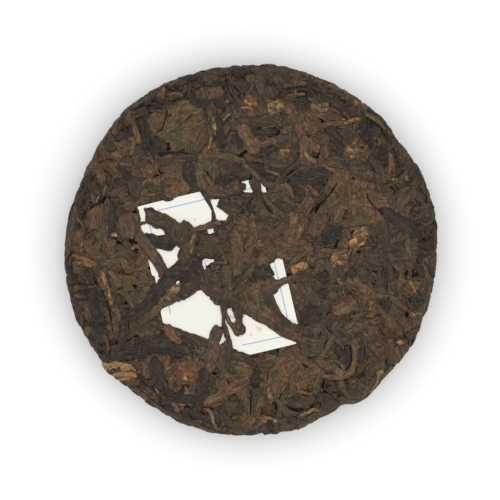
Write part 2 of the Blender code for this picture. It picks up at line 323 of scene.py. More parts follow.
# %% The shape of a leaf on the chart
COLUMN = 0.5  # spacing of a leaf's points across it
TORN = 0.7  # how far a torn end is uneven
SHINGLE = 0.75  # how much one side of a leaf stands higher than the other


def leaf_shape(kind, line, seed, station=STATION):
    """Chart places (u, v), shares across and walk along of a leaf's upper side, and its own lift."""
    sizes = LEAF_KINDS[kind]
    line = smooth_line(line, station)
    ahead = np.gradient(line[:, :2], axis=0)
    ahead /= np.maximum(np.hypot(*ahead.T), 1e-6)[:, None]
    walk = np.concatenate([[0], np.cumsum(np.hypot(*np.diff(line[:, :2], axis=0).T))])
    widest = line[:, 2].max()
    columns = int(np.clip(round(2 * widest / COLUMN * STATION / station), 4, 18))
    across = np.sin(np.linspace(-np.pi / 2, np.pi / 2, columns + 1))
    end = np.minimum(walk, walk[-1] - walk)
    closing = 1 - (1 - np.clip(end / (sizes["point"] * 2 * widest), 0, 1)) ** 2
    taper = np.sqrt(np.clip(closing, sizes["blunt"] ** 2, 1))
    ragged = sizes["ragged"]
    left = 1 + ragged * (noise(walk / 2.8, 0, seed) + 0.8 * noise(walk / 0.9, 5, seed))
    right = 1 + ragged * (noise(walk / 2.8, 9, seed) + 0.8 * noise(walk / 0.9, 14, seed))
    side = np.where(across < 0, left[:, None], right[:, None]) * (line[:, 2] * taper)[:, None]
    reach = side * across
    torn = TORN * noise(reach / 0.9, 17, seed) * np.exp(-end / 0.8)[:, None] * min(1, widest / 1.5)
    u = line[:, 0, None] - ahead[:, 1, None] * reach + ahead[:, 0, None] * torn
    v = line[:, 1, None] + ahead[:, 0, None] * reach + ahead[:, 1, None] * torn
    crown = (1 - np.abs(across) ** sizes["squareness"]) ** sizes["wedge"]
    drift = 1.2 * noise(walk / 7, 3, seed)[:, None]
    fold = (1 - np.abs(np.sin(np.pi * (sizes["pleats"] * (across / 2 + 0.15 * drift) + drift)))) ** 2
    fold = fold * np.clip(0.5 + noise(walk / 3.5, 23, seed), 0, 1)[:, None]
    rough = noise(walk[:, None] / 2.2, reach / 1.4, seed) + 0.5 * noise(
        walk[:, None] / 0.9, reach / 0.7, seed + 3
    )
    tilt = 1 + SHINGLE * noise(walk / 8, 21, seed)[:, None] * across
    thickness = chance.uniform(*sizes["thickness"]) * tilt
    lift = crown * (thickness - sizes["pleat"] * fold + sizes["crumple"] * rough)
    return u, v, across, walk, reach, lift


# %% Drape a leaf over the bed
def softened(heights, passes):
    """Heights smoothed along and across a leaf, as its stiffness does."""
    for _ in range(passes):
        for turn in range(2):
            padded = np.pad(heights, ((1, 1), (0, 0)), mode="edge")
            heights = ((padded[:-2] + 2 * padded[1:-1] + padded[2:]) / 4).T
    return heights


def between(count, spacing, reach):
    """A matrix that blends rows of a coarse table into finer ones at this spacing."""
    fine = max(2, int(np.ceil(reach / spacing)) + 1)
    at = np.linspace(0, count - 1, fine)
    low = np.minimum(at.astype(int), count - 2)
    blend = np.zeros((fine, count))
    blend[np.arange(fine), low] = 1 - (at - low)
    blend[np.arange(fine), low + 1] = at - low
    return blend


def write_into(bed, u, v, height):
    """Raises the bed to a leaf's upper side, and returns the cells it covers."""
    along = between(len(u), FINE, np.hypot(np.diff(u[:, 0]), np.diff(v[:, 0])).sum() + 0.5)
    across = between(u.shape[1], FINE, np.hypot(u[:, 0] - u[:, -1], v[:, 0] - v[:, -1]).max() + 0.5)
    fine_u, fine_v, fine_h = (along @ x @ across.T for x in (u, v, height))
    column = np.clip(np.round((fine_u + CHART_REACH) / CELL).astype(int), 0, CELLS - 1)
    row = np.clip(np.round((fine_v + CHART_REACH) / CELL).astype(int), 0, CELLS - 1)
    cells = (row * CELLS + column).ravel()
    np.maximum.at(bed.reshape(-1), cells, fine_h.ravel())
    return cells


# distance from a chart's middle and brightness there: painted shade, leaves darker towards the rim
RIM_PAINTED_SHADE = ((44.0, 1.0), (49.0, 0.92), (53.0, 0.84), (57.0, 0.70))
leaves = []
ticket_laid = False


def lay_leaf(side, kind, line, tone, stiffness=3, shade=None):
    """Lays one leaf on a side of the cake and keeps it for the meshes."""
    seed = len(leaves) + 1
    u, v, across, walk, reach, lift = leaf_shape(
        kind, line, seed, STATION if side == "face" else BACK_STATION
    )
    if ticket_laid and side == "face" and read_grid(near_opening, u, v).max() > 0.5:
        u, v, across, walk, reach, lift = leaf_shape(kind, line, seed, FINE_STATION)
        u, v = trimmed(u, v)
    bed = beds[side]
    under = softened(read_grid(bed, u, v), stiffness)
    cells = write_into(bed, u, v, under + lift)
    if shade is None:
        shade = 1 + TONE_SPREAD * float(np.clip(chance.normal(), -2, 2))
        # times the painted rim shade, which makes leaves darker towards the rim
        shade *= np.interp(math.hypot(u.mean(), v.mean()), *zip(*RIM_PAINTED_SHADE))
    leaf = dict(side=side, kind=kind, colour=TONE_COLOURS[tone] * shade, u=u, v=v, across=across, walk=walk,
                reach=reach, under=under, top=under + lift, seed=seed, cells=np.unique(cells))
    leaves.append(leaf)
    return leaf


# %% [markdown]
# ## The bed
# The first layers are laid at random over both sides. Most of them end up hidden, as in a real cake, and
# the hidden ones are dropped before any mesh is made.

# %% Lay the bed
CORE_LEVEL = -1.0
LEAF_REACH = 64.0  # how far from a chart's middle leaves are laid
beds = {
    side: CORE_LEVEL + 0.15 * noise(
        grid_u / 2.5, grid_v / 2.5, 2 + i
    ) for i, side in enumerate(("face", "back"))
}


def random_place():
    """A chart point, evenly spread over the disc that takes leaves."""
    distance = LEAF_REACH * math.sqrt(chance.random())
    angle = chance.uniform(0, 2 * math.pi)
    return distance * math.cos(angle), distance * math.sin(angle)


SETTLING = 6  # a leaf settles in the lowest of this many places


def low_place(side, tries=SETTLING):
    """The lowest of a few random places, where the next leaf settles."""
    spots = np.array([random_place() for _ in range(tries)])
    return spots[np.argmin(read_grid(beds[side], *spots.T))]


def random_leaf(side, kind, place=None, shorter=1.0, allowed=None):
    """Lays a random leaf of this kind. allowed(line) may refuse it."""
    sizes = LEAF_KINDS[kind]
    u, v = low_place(side) if place is None else place
    half_width = chance.uniform(*sizes["half_width"]) * shorter**0.7
    length = chance.uniform(*sizes["length"]) * shorter
    line = random_line(u, v, length, chance.uniform(0, 2 * math.pi), half_width)
    if allowed and not allowed(line):
        return None
    shares = COMMON_SHARES["large" if half_width > 1 else "small"]
    mood = LIKENESS * float(noise(u / REGION, v / REGION, 31)) / NOISE_SPREAD
    mood += math.sqrt(1 - LIKENESS**2) * chance.normal()
    rank = (1 + math.erf(mood / math.sqrt(2))) / 2
    tone = COMMON_TONES[min(int(np.searchsorted(np.cumsum(shares), rank)), len(COMMON_TONES) - 1)]
    return lay_leaf(side, kind, line, tone)


BED_MIX = {"broad": 0.50, "folded": 0.22, "rolled": 0.10, "scrap": 0.18}
BED_COUNT = {"face": 700, "back": 700}
for side, count in BED_COUNT.items():
    for kind in chance.choice(list(BED_MIX), size=count, p=list(BED_MIX.values())):
        random_leaf(side, kind)
print(f"{len(leaves)} bed leaves; the face bed is {beds['face'].mean():.2f} mm on average")

# %% [markdown]
# ## The ticket
# The maker's paper slip is laid on the tea before the last handful, so that it ends up pressed into the
# face with leaves across it. It is thin, flat and crisp. Here the leaves under it are held down to its
# level, and a margin round it slopes up gently, so that its edges stay clean.

# %% Place the ticket in the bed
TICKET_SIZE = (38.7, 50.4)
TICKET_CENTRE = (-9.2, -7.3)
TICKET_TURN = math.radians(13.3)
PAPER_THICKNESS = 0.12
PAPER_MARGIN = 0.9
MARGIN_SLOPE = 0.6


def on_ticket(u, v):
    """Chart points in the ticket's own directions, from its middle."""
    x, y = u - TICKET_CENTRE[0], v - TICKET_CENTRE[1]
    c, s = math.cos(TICKET_TURN), math.sin(TICKET_TURN)
    return c * x + s * y, c * y - s * x


def off_ticket(x, y):
    """Chart points from places on the ticket."""
    c, s = math.cos(TICKET_TURN), math.sin(TICKET_TURN)
    return TICKET_CENTRE[0] + c * x - s * y, TICKET_CENTRE[1] + s * x + c * y


def outside_ticket(u, v):
    """How far chart points are outside the ticket's edge. It is negative inside."""
    x, y = on_ticket(u, v)
    dx, dy = np.abs(x) - TICKET_SIZE[0] / 2, np.abs(y) - TICKET_SIZE[1] / 2
    return np.hypot(np.maximum(dx, 0), np.maximum(dy, 0)) + np.minimum(np.maximum(dx, dy), 0)


paper_level = blurred(beds["face"], 3.0) + 0.1
ceiling = paper_level - 0.1 + MARGIN_SLOPE * np.maximum(outside_ticket(grid_u, grid_v) - PAPER_MARGIN, 0)
beds["face"] = np.minimum(beds["face"], ceiling)
on_paper = outside_ticket(grid_u, grid_v) < 0
beds["face"][on_paper] = (paper_level + PAPER_THICKNESS)[on_paper]
bed_leaves = len(leaves)
print(f"the ticket covers {on_paper.sum() * CELL**2:.0f} square mm")

# %% [markdown]
# ## Leaves round and over the ticket
# The last handful of leaves leaves part of the ticket open. An outline gives that open part, and a random
# leaf that would reach into it is refused. Small gaps near the ticket's corner let slivers of paper show.

# %% The open parts of the ticket
OPENINGS = (
    ((-33.5, 12.8), (-30.7, 13.9), (-26.1, 14.8), (-24.8, 14.2), (-23.6, 14.4), (-22.0, 15.1), (-21.0, 15.9),
     (-17.0, 16.9), (-14.8, 17.3), (-13.8, 15.6), (-12.1, 12.9), (-11.4, 11.5), (-11.4, 8.7), (-14.0, 7.4),
     (-14.7, 7.5), (-16.2, 6.7), (-16.9, 7.0), (-17.8, 8.5), (-18.6, 9.0), (-19.6, 9.0), (-20.5, 8.6),
     (-21.1, 7.9),
     (-22.8, 9.9), (-24.1, 10.7), (-26.7, 11.4), (-29.7, 13.1), (-30.7, 13.1), (-31.6, 12.1), (-31.0, 10.7),
     (-31.2, 8.7), (-32.1, 8.5), (-32.5, 9.5), (-32.3, 10.4)),
    ((-11.7, 14.7), (-8.6, 15.2), (-9.5, 14.7), (-10.2, 12.9), (-9.5, 11.9), (-8.6, 12.0), (-6.4, 10.2), (-7.3, 8.7),
     (-7.8, 9.1), (-10.0, 9.0), (-10.2, 10.5)),
    ((-31.9, 7.6), (-30.7, 7.3), (-29.0, 6.1), (-27.1, 5.8), (-26.2, 6.3), (-25.1, 4.6), (-27.5, 4.3), (-29.1, 5.1),
     (-29.9, 4.8), (-30.6, 5.3), (-31.4, 4.6)),
    ((-12.9, 5.6), (-12.0, 6.0), (-11.1, 6.0), (-10.5, 5.2), (-11.6, 5.2)),
    ((-27.9, 0.4), (-26.2, 0.2), (-24.9, -0.8), (-24.3, -1.1), (-22.7, -0.2), (-21.7, 1.3), (-21.3, 0.8),
     (-20.6, 0.7), (-21.8, -1.7), (-21.6, -3.0), (-24.3, -5.8), (-25.1, -3.9), (-25.8, -2.3)),
    (
        (-30.4, -2.0), (-28.8, -4.7), (-27.2, -7.3), (-27.1, -8.5), (-27.8, -10.1), (-28.2, -7.9),
        (-29.6, -4.9)
    ),
    (
        (-13.8, -2.5), (-11.4, -2.9), (-10.2, -2.7), (-11.2, -3.7), (-13.1, -3.6), (-13.2, -6.0),
        (-13.7, -6.0)
    ),
    ((-21.0, -8.6), (-20.9, -9.6), (-21.7, -10.5), (-21.8, -9.7)),
    ((-26.5, -17.7), (-24.0, -16.9), (-22.7, -15.9), (-21.7, -15.2), (-20.9, -15.5), (-19.3, -15.2), (-16.9, -13.6),
     (-14.6, -11.7), (-12.6, -13.8), (-10.0, -17.0), (-8.9, -17.0), (-8.4, -19.4), (-8.4, -22.2),
     (-10.2, -22.0),
     (-11.2, -22.4), (-11.9, -24.5), (-12.3, -26.2), (-12.9, -26.2), (-26.1, -21.0)),
    ((-6.0, -17.6), (-4.9, -20.0), (-4.0, -22.6), (-5.4, -20.6), (-6.8, -18.6)),
    ((-7.5, -20.9), (-5.8, -22.9), (-4.3, -25.6), (-3.0, -26.0), (-1.9, -25.4), (-1.2, -24.3), (-1.2, -22.9),
     (-2.2, -21.6), (-2.2, -19.8), (-1.2, -19.2), (2.2, -21.3), (4.0, -22.0), (6.8, -23.9), (9.2, -25.7),
     (12.1, -26.9),
     (14.2, -27.5), (11.2, -28.5), (4.0, -30.4), (0.0, -30.8), (-2.9, -29.8), (-5.0, -29.2), (-5.4, -27.0),
     (-5.9, -24.5)),
    ((-9.3, -28.0), (-8.3, -26.0), (-7.8, -24.3), (-7.7, -25.7), (-7.0, -26.6)),
    ((5.5, -4.4), (8.0, -3.2), (9.6, -2.8), (10.1, -2.3), (10.9, -5.0), (11.3, -7.6), (8.8, -8.6), (7.2, -8.1),
     (7.9, -7.0), (7.7, -6.0), (6.8, -5.2)),
    ((8.4, -11.7), (9.8, -10.4), (11.8, -9.7), (13.0, -14.9), (14.5, -22.0), (11.4, -20.6), (9.3, -18.6), (7.8, -15.3),
     (6.8, -13.0), (8.1, -13.4), (8.2, -12.6)),
    ((-3.4, 20.1), (-2.4, 20.8), (-1.6, 21.4), (-0.8, 21.3), (-0.6, 20.2), (0.1, 18.6), (1.1, 16.8), (-1.3, 17.4),
     (-1.1, 18.6), (-1.0, 19.5), (-1.3, 20.4), (-1.8, 20.7), (-2.8, 20.0)),
    ((3.0, 20.0), (3.4, 19.8), (4.2, 18.3), (5.1, 18.2), (5.0, 17.3), (4.3, 17.0), (3.6, 17.8)),
    ((-8.1, 18.9), (-7.4, 19.0), (-7.3, 18.5), (-7.9, 18.5)),
)


def inside_outline(u, v, outline):
    """Which chart points are inside a closed outline, by counting crossings."""
    found = np.zeros(np.shape(u), bool)
    for (x0, y0), (x1, y1) in zip(outline, outline[1:] + outline[:1]):
        if y0 != y1:
            crosses = ((v > y0) != (v > y1)) & (u < x0 + (v - y0) * (x1 - x0) / (y1 - y0))
            found ^= crosses
    return found


keep_out = np.zeros(grid_u.shape, bool)
for outline in OPENINGS:
    keep_out |= inside_outline(grid_u, grid_v, outline)
print(f"{len(OPENINGS)} openings show {(keep_out & on_paper).sum() * CELL**2:.0f} square mm of paper")


FINE_STATION = 0.42  # spacing of the cross-sections of a leaf that is trimmed
near_opening = keep_out.astype(float)
TRIM_STEPS = 61  # how finely a cross-section is tested against the openings


def over_opening(u, v):
    """Which chart points lie over an opening."""
    return np.any([inside_outline(u, v, outline) for outline in OPENINGS], axis=0)


def nearest_outline(u, v):
    """The nearest points to these on the outlines of the openings, for what can't be narrowed."""
    starts = np.vstack(OPENINGS)
    sides = np.vstack([np.roll(np.array(outline), -1, axis=0) for outline in OPENINGS]) - starts
    points = np.stack([u, v], -1)[:, None]
    share = np.clip(((points - starts) * sides).sum(-1) / (sides**2).sum(-1), 0, 1)
    nearest = starts + share[..., None] * sides
    closest = np.hypot(*np.moveaxis(nearest - points, -1, 0)).argmin(1)
    return nearest[np.arange(len(closest)), closest].T


def trimmed(u, v):
    """Chart points of a leaf, each cross-section narrowed to the stretch that leaves the openings free."""
    u, v = u.copy(), v.copy()
    shares = np.linspace(-1, 1, TRIM_STEPS)
    columns = np.linspace(-1, 1, u.shape[1])
    at = np.array([[np.interp(shares, columns, row) for row in rows] for rows in (u, v)])
    over = over_opening(*at)
    for row in np.flatnonzero(over.any(1)):
        free = np.flatnonzero(~over[row])
        if not len(free):
            u[row], v[row] = nearest_outline(u[row], v[row])
            continue
        runs = np.split(free, np.flatnonzero(np.diff(free) > 1) + 1)
        run = min(runs, key=lambda steps: np.abs(shares[steps]).min() - 0.02 * len(steps))
        low, high = shares[run[0]], shares[run[-1]]
        middle = 0.0 if low < 0 < high else (low + high) / 2
        moved = np.interp(columns, (-1, 0, 1), (low, middle, high))
        u[row], v[row] = (np.interp(moved, shares, line) for line in at[:, row])
    return u, v


OVERLAP = 0.85  # share of its half width by which a random leaf may reach over an opening, to be trimmed


def clear_of_opening(line):
    """Whether a leaf along this line leaves the open part of the ticket free."""
    line = smooth_line(line, 1.0)
    ahead = np.gradient(line[:, :2], axis=0)
    ahead /= np.maximum(np.hypot(*ahead.T), 1e-6)[:, None]
    across = np.linspace(-OVERLAP, OVERLAP, 9)
    u = line[:, 0, None] - ahead[:, 1, None] * line[:, 2, None] * across
    v = line[:, 1, None] + ahead[:, 0, None] * line[:, 2, None] * across
    return read_grid(keep_out.astype(float), u, v).max() < 0.5


# %% Lay the last handful
ticket_laid = True
LAST_COUNT = 400
LAST_MIX = {"broad": 0.42, "folded": 0.28, "rolled": 0.18, "stem": 0.06, "scrap": 0.06}
for kind in chance.choice(list(LAST_MIX), size=LAST_COUNT, p=list(LAST_MIX.values())):
    random_leaf("face", kind, allowed=clear_of_opening)
for kind in chance.choice(list(LAST_MIX), size=LAST_COUNT // 2, p=list(LAST_MIX.values())):
    random_leaf("back", kind)
print(f"{len(leaves) - bed_leaves} leaves in the last handful")

# %% Cover the closed part of the ticket
SMALLEST_PATCH = 0.15  # of a full-sized leaf
FEWEST_BARE = 3  # cells of the bed
BESIDE = 0.3  # how far beside an opening the paper may stay bare
COVER_DEPTH = 0.14  # how far a covering leaf has to stand over the paper
closed_part = (on_paper & (blurred(keep_out.astype(float), BESIDE) < 0.02)).reshape(-1)
covered_from = (paper_level + PAPER_THICKNESS + COVER_DEPTH).reshape(-1)
patches = 0
for attempt in range(9000):
    bare = np.flatnonzero(closed_part & (beds["face"].reshape(-1) < covered_from))
    if len(bare) < FEWEST_BARE:
        break
    cell = chance.choice(bare)
    place = grid_u.reshape(-1)[cell], grid_v.reshape(-1)[cell]
    size = max(SMALLEST_PATCH, 0.9 - 0.12 * (attempt % 8))
    if random_leaf("face", "broad" if attempt % 2 else "folded", place, size, clear_of_opening):
        patches += 1
print(f"{patches} leaves close the ticket's covered part, {len(bare) * CELL**2:.1f} square mm stay bare")

# %% Fill the deepest gaps
FILLERS = 300
FILLER_TRIES = 150
FILLER_SIZE = 0.55  # of a full-sized leaf
for side in ("face", "back"):
    allowed = clear_of_opening if side == "face" else None
    for number in range(FILLERS):
        kind = "broad" if number % 2 else "folded"
        random_leaf(side, kind, low_place(side, FILLER_TRIES), FILLER_SIZE, allowed)

# %% Strew chips
CHIPS = {"face": 420, "back": 300}
for side, count in CHIPS.items():
    for _ in range(count):
        random_leaf(side, "chip", random_place(), 1.0, clear_of_opening if side == "face" else None)

# %% [markdown]
# ## Leaves placed one by one
# Some leaves give this cake its character: the strands that cross the ticket, a broad ridged leaf, the
# golden and rust-coloured bits. They are laid last, each by the middle line and half width that it has.

# %% Strands across the ticket
TICKET_STRANDS = (
    ("broad", "dark", ((-26.4, 15.8, 0.9), (-24.4, 15.4, 1.4), (-22.2, 16.2, 0.9))),
    ("scrap", "dark", ((-3.6, 19.2, 0.8), (-2.4, 18.9, 1.3), (-1.2, 18.6, 1.0))),
    ("scrap", "brown", ((-3.4, 21.6, 0.9), (-1.8, 22.2, 0.9), (-0.2, 21.8, 0.8))),
    ("scrap", "dark", ((0.2, 20.9, 0.8), (1.0, 19.2, 1.0), (2.0, 17.4, 0.9))),
    ("scrap", "brown", ((4.4, 20.0, 0.9), (5.6, 18.8, 1.0), (6.2, 17.2, 0.8))),
    ("scrap", "dark", ((-15.9, -1.8, 1.0), (-15.0, -4.4, 1.0), (-14.6, -7.0, 0.9))),
    ("scrap", "dark", ((-12.2, -5.0, 0.9), (-10.6, -5.1, 1.0), (-9.0, -4.7, 0.9))),
    ("scrap", "black", ((-13.6, -0.9, 0.9), (-11.4, -1.4, 0.9), (-9.0, -1.7, 0.9))),
    (
        "folded", "dark", (
            (-28.5, -21.6, 1.0), (-22.0, -24.3, 1.3), (-16.5, -26.2, 1.3), (-11.5, -28.2, 1.2)
        )
    ),
    ("broad", "dark", ((-5.5, -30.6, 0.8), (-3.2, -31.4, 1.2), (0.0, -32.6, 1.4), (4.0, -33.5, 1.2))),
    ("folded", "dark", ((-31.3, 12.3, 1.1), (-30.2, 10.6, 1.9), (-28.2, 9.2, 2.5), (-25.4, 8.2, 2.5),
                        (-23.4, 6.6, 2.6), (-21.8, 3.2, 2.4), (-21.2, -0.5, 2.0))),
    ("broad", "black", ((-32.3, 3.6, 1.0), (-29.8, 3.3, 1.7), (-26.8, 2.5, 2.0), (-24.5, 1.8, 2.7),
                             (-22.0, 2.6, 2.0))),
    ("folded", "brown", ((-36.0, 7.0, 1.4), (-31.8, 2.6, 1.6), (-29.6, 0.0, 1.6), (-27.2, -3.6, 1.6),
                         (-25.8, -6.5, 1.6), (-24.8, -9.5, 1.5))),
    (
        "folded", "dark", (
            (-27.4, -17.3, 0.8), (-24.7, -15.3, 1.4), (-21.8, -13.6, 1.7), (-19.6, -12.2, 1.6)
        )
    ),
    ("folded", "black", ((-17.3, -5.7, 1.8), (-18.6, -10.5, 2.0), (-20.2, -13.8, 1.7))),
    ("folded", "dark", ((-11.8, -6.3, 1.8), (-15.7, -10.1, 1.9), (-18.2, -11.9, 1.9), (-20.7, -13.7, 1.6))),
    ("broad", "dark", ((-13.0, -4.9, 2.0), (-12.8, -10.1, 2.4), (-10.5, -12.8, 2.4), (-8.4, -15.2, 2.2))),
    ("broad", "dark", ((-15.6, 1.0, 3.6), (-10.5, 1.0, 4.1), (-6.0, 1.6, 4.1), (-1.0, 2.3, 3.4))),
    ("folded", "black", ((-36.5, -20.5, 2.0), (-31.0, -16.2, 2.5), (-28.0, -13.5, 2.6), (-25.6, -10.7, 2.6),
                              (-23.4, -8.0, 2.5), (-20.9, -5.8, 2.4), (-17.6, -4.3, 2.3), (-14.0, -3.4, 1.7))),
    ("folded", "warm", ((-33.0, -21.8, 1.0), (-30.5, -20.0, 1.1), (-27.0, -17.0, 1.1), (-24.5, -14.5, 1.3),
                        (-22.5, -12.0, 1.4))),
    ("tip", "golden", ((-25.3, -15.2, 1.0), (-24.0, -13.7, 1.6), (-22.3, -11.7, 1.6), (-20.6, -9.4, 0.9))),
    ("tip", "rust", ((-32.6, -21.6, 0.9), (-31.0, -20.4, 1.2), (-29.6, -19.3, 0.8))),
    ("folded", "olive", ((-4.6, 6.4, 1.3), (-3.9, 1.3, 1.8), (-3.4, -2.5, 2.1), (-4.0, -7.6, 2.0))),
    ("broad", "black", ((-1.5, -7.4, 2.0), (2.0, -6.6, 2.6), (5.0, -6.6, 2.4), (6.6, -7.0, 1.6))),
    ("stem", "dark", ((-7.6, -11.0, 1.3), (-7.6, -16.5, 1.1), (-7.95, -20.7, 0.7), (-7.3, -23.5, 0.8),
                      (-6.6, -26.5, 0.9), (-6.2, -29.0, 0.9))),
    ("stem", "olive", ((-7.0, -18.6, 0.7), (-6.0, -21.8, 0.7), (-4.7, -24.0, 0.9), (-3.0, -25.0, 0.9))),
    ("rolled", "dark", ((-3.4, -25.2, 0.9), (-2.1, -23.8, 1.0), (-2.4, -21.6, 1.1), (-3.3, -19.2, 1.3),
                        (-3.7, -16.3, 1.5), (-3.0, -12.0, 1.6))),
    ("rolled", "brown", ((-10.1, -22.3, 1.5), (-10.2, -24.6, 1.9), (-10.6, -28.0, 1.9), (-11.2, -31.5, 1.9),
                         (-12.5, -37.0, 1.8))),
    ("rolled", "dark", ((-6.6, -25.0, 1.0), (-6.8, -29.0, 1.6), (-7.4, -33.0, 1.8), (-9.0, -38.0, 1.8))),
    ("stem", "black", ((-16.6, 20.6, 0.9), (-13.8, 16.4, 0.8), (-12.0, 13.8, 0.7), (-11.0, 11.2, 0.7),
                            (-10.7, 8.6, 0.7), (-10.9, 6.6, 0.7))),
    ("broad", "brown", ((-16.5, 22.5, 1.6), (-12.3, 18.6, 2.0), (-8.5, 17.4, 2.0), (-4.3, 17.8, 1.8))),
    ("scrap", "warm", ((-6.4, 18.6, 1.2), (-4.2, 18.9, 1.5), (-2.2, 18.6, 1.1))),
    ("folded", "dark", ((2.5, 22.5, 1.0), (2.2, 19.0, 0.9), (2.6, 15.0, 1.2))),
    ("folded", "dark", ((-9.9, 13.0, 0.9), (-8.0, 12.9, 1.4), (-5.5, 12.4, 2.0), (-2.5, 11.4, 2.2))),
    (
        "tip", "rust", (
            (-17.6, 4.6, 0.7), (-15.6, 6.0, 0.9), (-13.2, 6.9, 1.0), (-11.0, 7.8, 1.2), (-8.0, 8.0, 1.2)
        )
    ),
    ("folded", "dark", ((-19.0, 8.8, 1.6), (-19.0, 6.6, 1.9), (-18.9, 3.8, 1.9), (-19.3, 0.8, 1.8),
                        (-20.0, -4.5, 1.7))),
    ("tip", "golden", ((-16.2, 5.2, 0.8), (-17.2, 1.9, 0.9), (-17.6, -1.3, 0.7))),
    ("broad", "brown", ((-2.4, -13.2, 2.4), (0.9, -16.5, 3.2), (4.4, -19.1, 3.2), (8.0, -22.0, 2.6),
                        (11.4, -24.4, 2.1), (15.2, -26.1, 1.8), (20.5, -27.3, 1.5))),
    ("folded", "dark", ((4.0, -10.6, 1.2), (5.5, -13.7, 1.6), (8.3, -19.0, 1.6), (10.3, -21.2, 1.4),
                        (13.8, -23.3, 1.2), (19.0, -25.4, 1.0))),
    ("folded", "brown", ((2.5, -14.0, 1.2), (5.6, -12.2, 1.5), (8.6, -10.3, 1.3), (11.6, -8.8, 1.2),
                         (17.5, -7.8, 1.4))),
    ("rolled", "dark", ((-6.7, -17.3, 0.9), (-3.7, -12.6, 1.1), (-1.0, -7.6, 1.1), (1.6, -3.7, 1.0))),
    ("scrap", "rust", ((-3.1, -14.6, 0.9), (-2.4, -12.4, 0.8))),
)
for kind, tone, line in TICKET_STRANDS:
    lay_leaf("face", kind, line, tone, stiffness=4, shade=1.0)
print(f"{len(TICKET_STRANDS)} strands cross or edge the ticket")

# %% Leaves of the face that stand out
FACE_POINTS = int(np.argmax(section_r)) + 1  # section points from the middle to the widest place


def from_above(numbers):
    """Chart points of places that are given as seen from above."""
    places = np.array(numbers, float).reshape(-1, 2)
    distance = np.maximum(np.hypot(*places.T), 1e-6)
    walk = np.interp(distance, section_r[:FACE_POINTS], section_walk[:FACE_POINTS])
    return places * (walk / distance)[:, None]


def lay_listed(listed, stiffness=2):
    """Lays the leaves of a list. Each row is a kind, a tone, a half width and the middle line in mm."""
    rows = [row.split() for row in listed.strip().splitlines()]
    for kind, tone, half_width, *numbers in rows:
        line = [(x, y, float(half_width)) for x, y in from_above(numbers)]
        lay_leaf("face", kind, line, tone, stiffness, 1.0)
    print(f"{len(rows)} leaves placed by hand")


LARGE_LEAVES = """
folded black 2.7  -42.5 -32  -37 -30  -31.5 -28  -25.5 -27  -20.5 -27.5  -17 -30.5
broad olive 4.2  -30 33  -24.5 37  -19 40  -14 42
broad dark 3.6  3 52.5  5 48.5  6.8 44.8
broad black 2.0  13.5 43.5  16 43  18.5 42.5
broad warm 1.8  -12.5 46.5  -10 47  -8 46.5
broad brown 1.3  -24.5 45.5  -22 46  -19.5 45.8
broad black 1.2  -15.5 49.7  -12 49.3  -9 49.5
broad black 3.0  -37.5 39.5  -38.5 36  -39.5 32.5
broad black 1.6  -43.5 32.5  -41.5 33
broad dark 2.6  -33.5 30.5  -33 27.5  -32 24.5
broad warm 2.4  -30 39  -28 37  -26.5 35.5
broad black 2.4  -28.5 33  -26.5 30.5  -26 28.5
broad olive 3.0  -23.5 33.5  -20.5 32.5  -17.5 32
broad black 2.0  -38.5 24  -38.3 21.5  -38.5 19
broad warm 1.4  -45 24.5  -44.5 22  -43.5 20
broad dark 3.0  -34 21.5  -34 18  -34 15
broad dark 2.6  -9.5 26  -7 24.5  -5 23
broad black 2.0  -18 26  -17.5 22  -16.8 18.5
broad black 2.0  -4.5 34.5  -3.5 32  -3 30
broad black 1.6  26 33  26.5 30.5  26 28
broad brown 1.8  20.5 34  22 32.5  23 31
broad dark 1.8  29 25.5  33 24.8  35 24.5
broad black 3.0  32.5 36  35 35  38 33
broad warm 2.2  15 11  14 6  12.5 2
broad warm 2.2  18.5 15.5  16.5 12  15 8
broad brown 2.0  26 17  23 12.5  20.5 9  19 4
broad black 2.6  22 2.5  24.5 5  27.5 6
broad brown 3.0  42.5 6.5  43.5 10.5  46 14.5  48.5 17.5
folded black 1.8  38.5 12.5  42 9.5  46 7  50 4.5
broad warm 2.4  -46 13  -46.5 9.5  -46.5 6
broad brown 3.0  -37 11  -36 7  -35.5 3
broad dark 2.4  -52 -1.5  -48 -3.5  -44.5 -7.5  -42.5 -12
broad black 2.2  -48 -6  -47.5 -8.5  -46 -10
broad black 2.6  -46.5 -11.5  -45.5 -15  -43.5 -19
broad black 2.4  -44.5 -20  -44 -24  -43.5 -28
broad black 1.6  -38.5 -13.5  -38 -16.5
broad dark 2.0  -29 -22.5  -27 -22.5
broad warm 1.8  9 -34.5  9.5 -37  11 -39.5
broad olive 2.0  -4 -33.5  -2 -35.5  0.5 -37
broad brown 1.3  3.5 -36  4 -38
broad black 1.5  26 -28.5  27.5 -31.5
broad dark 2.5  24 -41  25.5 -43
broad warm 2.2  24.5 -18.8  28 -17  32 -16
broad black 3.0  16 -21.5  18 -19  21 -17.5
broad black 1.6  30 -5.5  29.8 -8.5
broad dark 1.6  33.5 -7  34 -10
broad black 2.0  47 -15  49 -15.5
broad black 2.0  21 -12  22.5 -14
broad olive 1.8  20 -3.2  21.5 -5
broad olive 1.4  -32.5 -14  -31 -12  -29.3 -10.5
"""
lay_listed(LARGE_LEAVES)

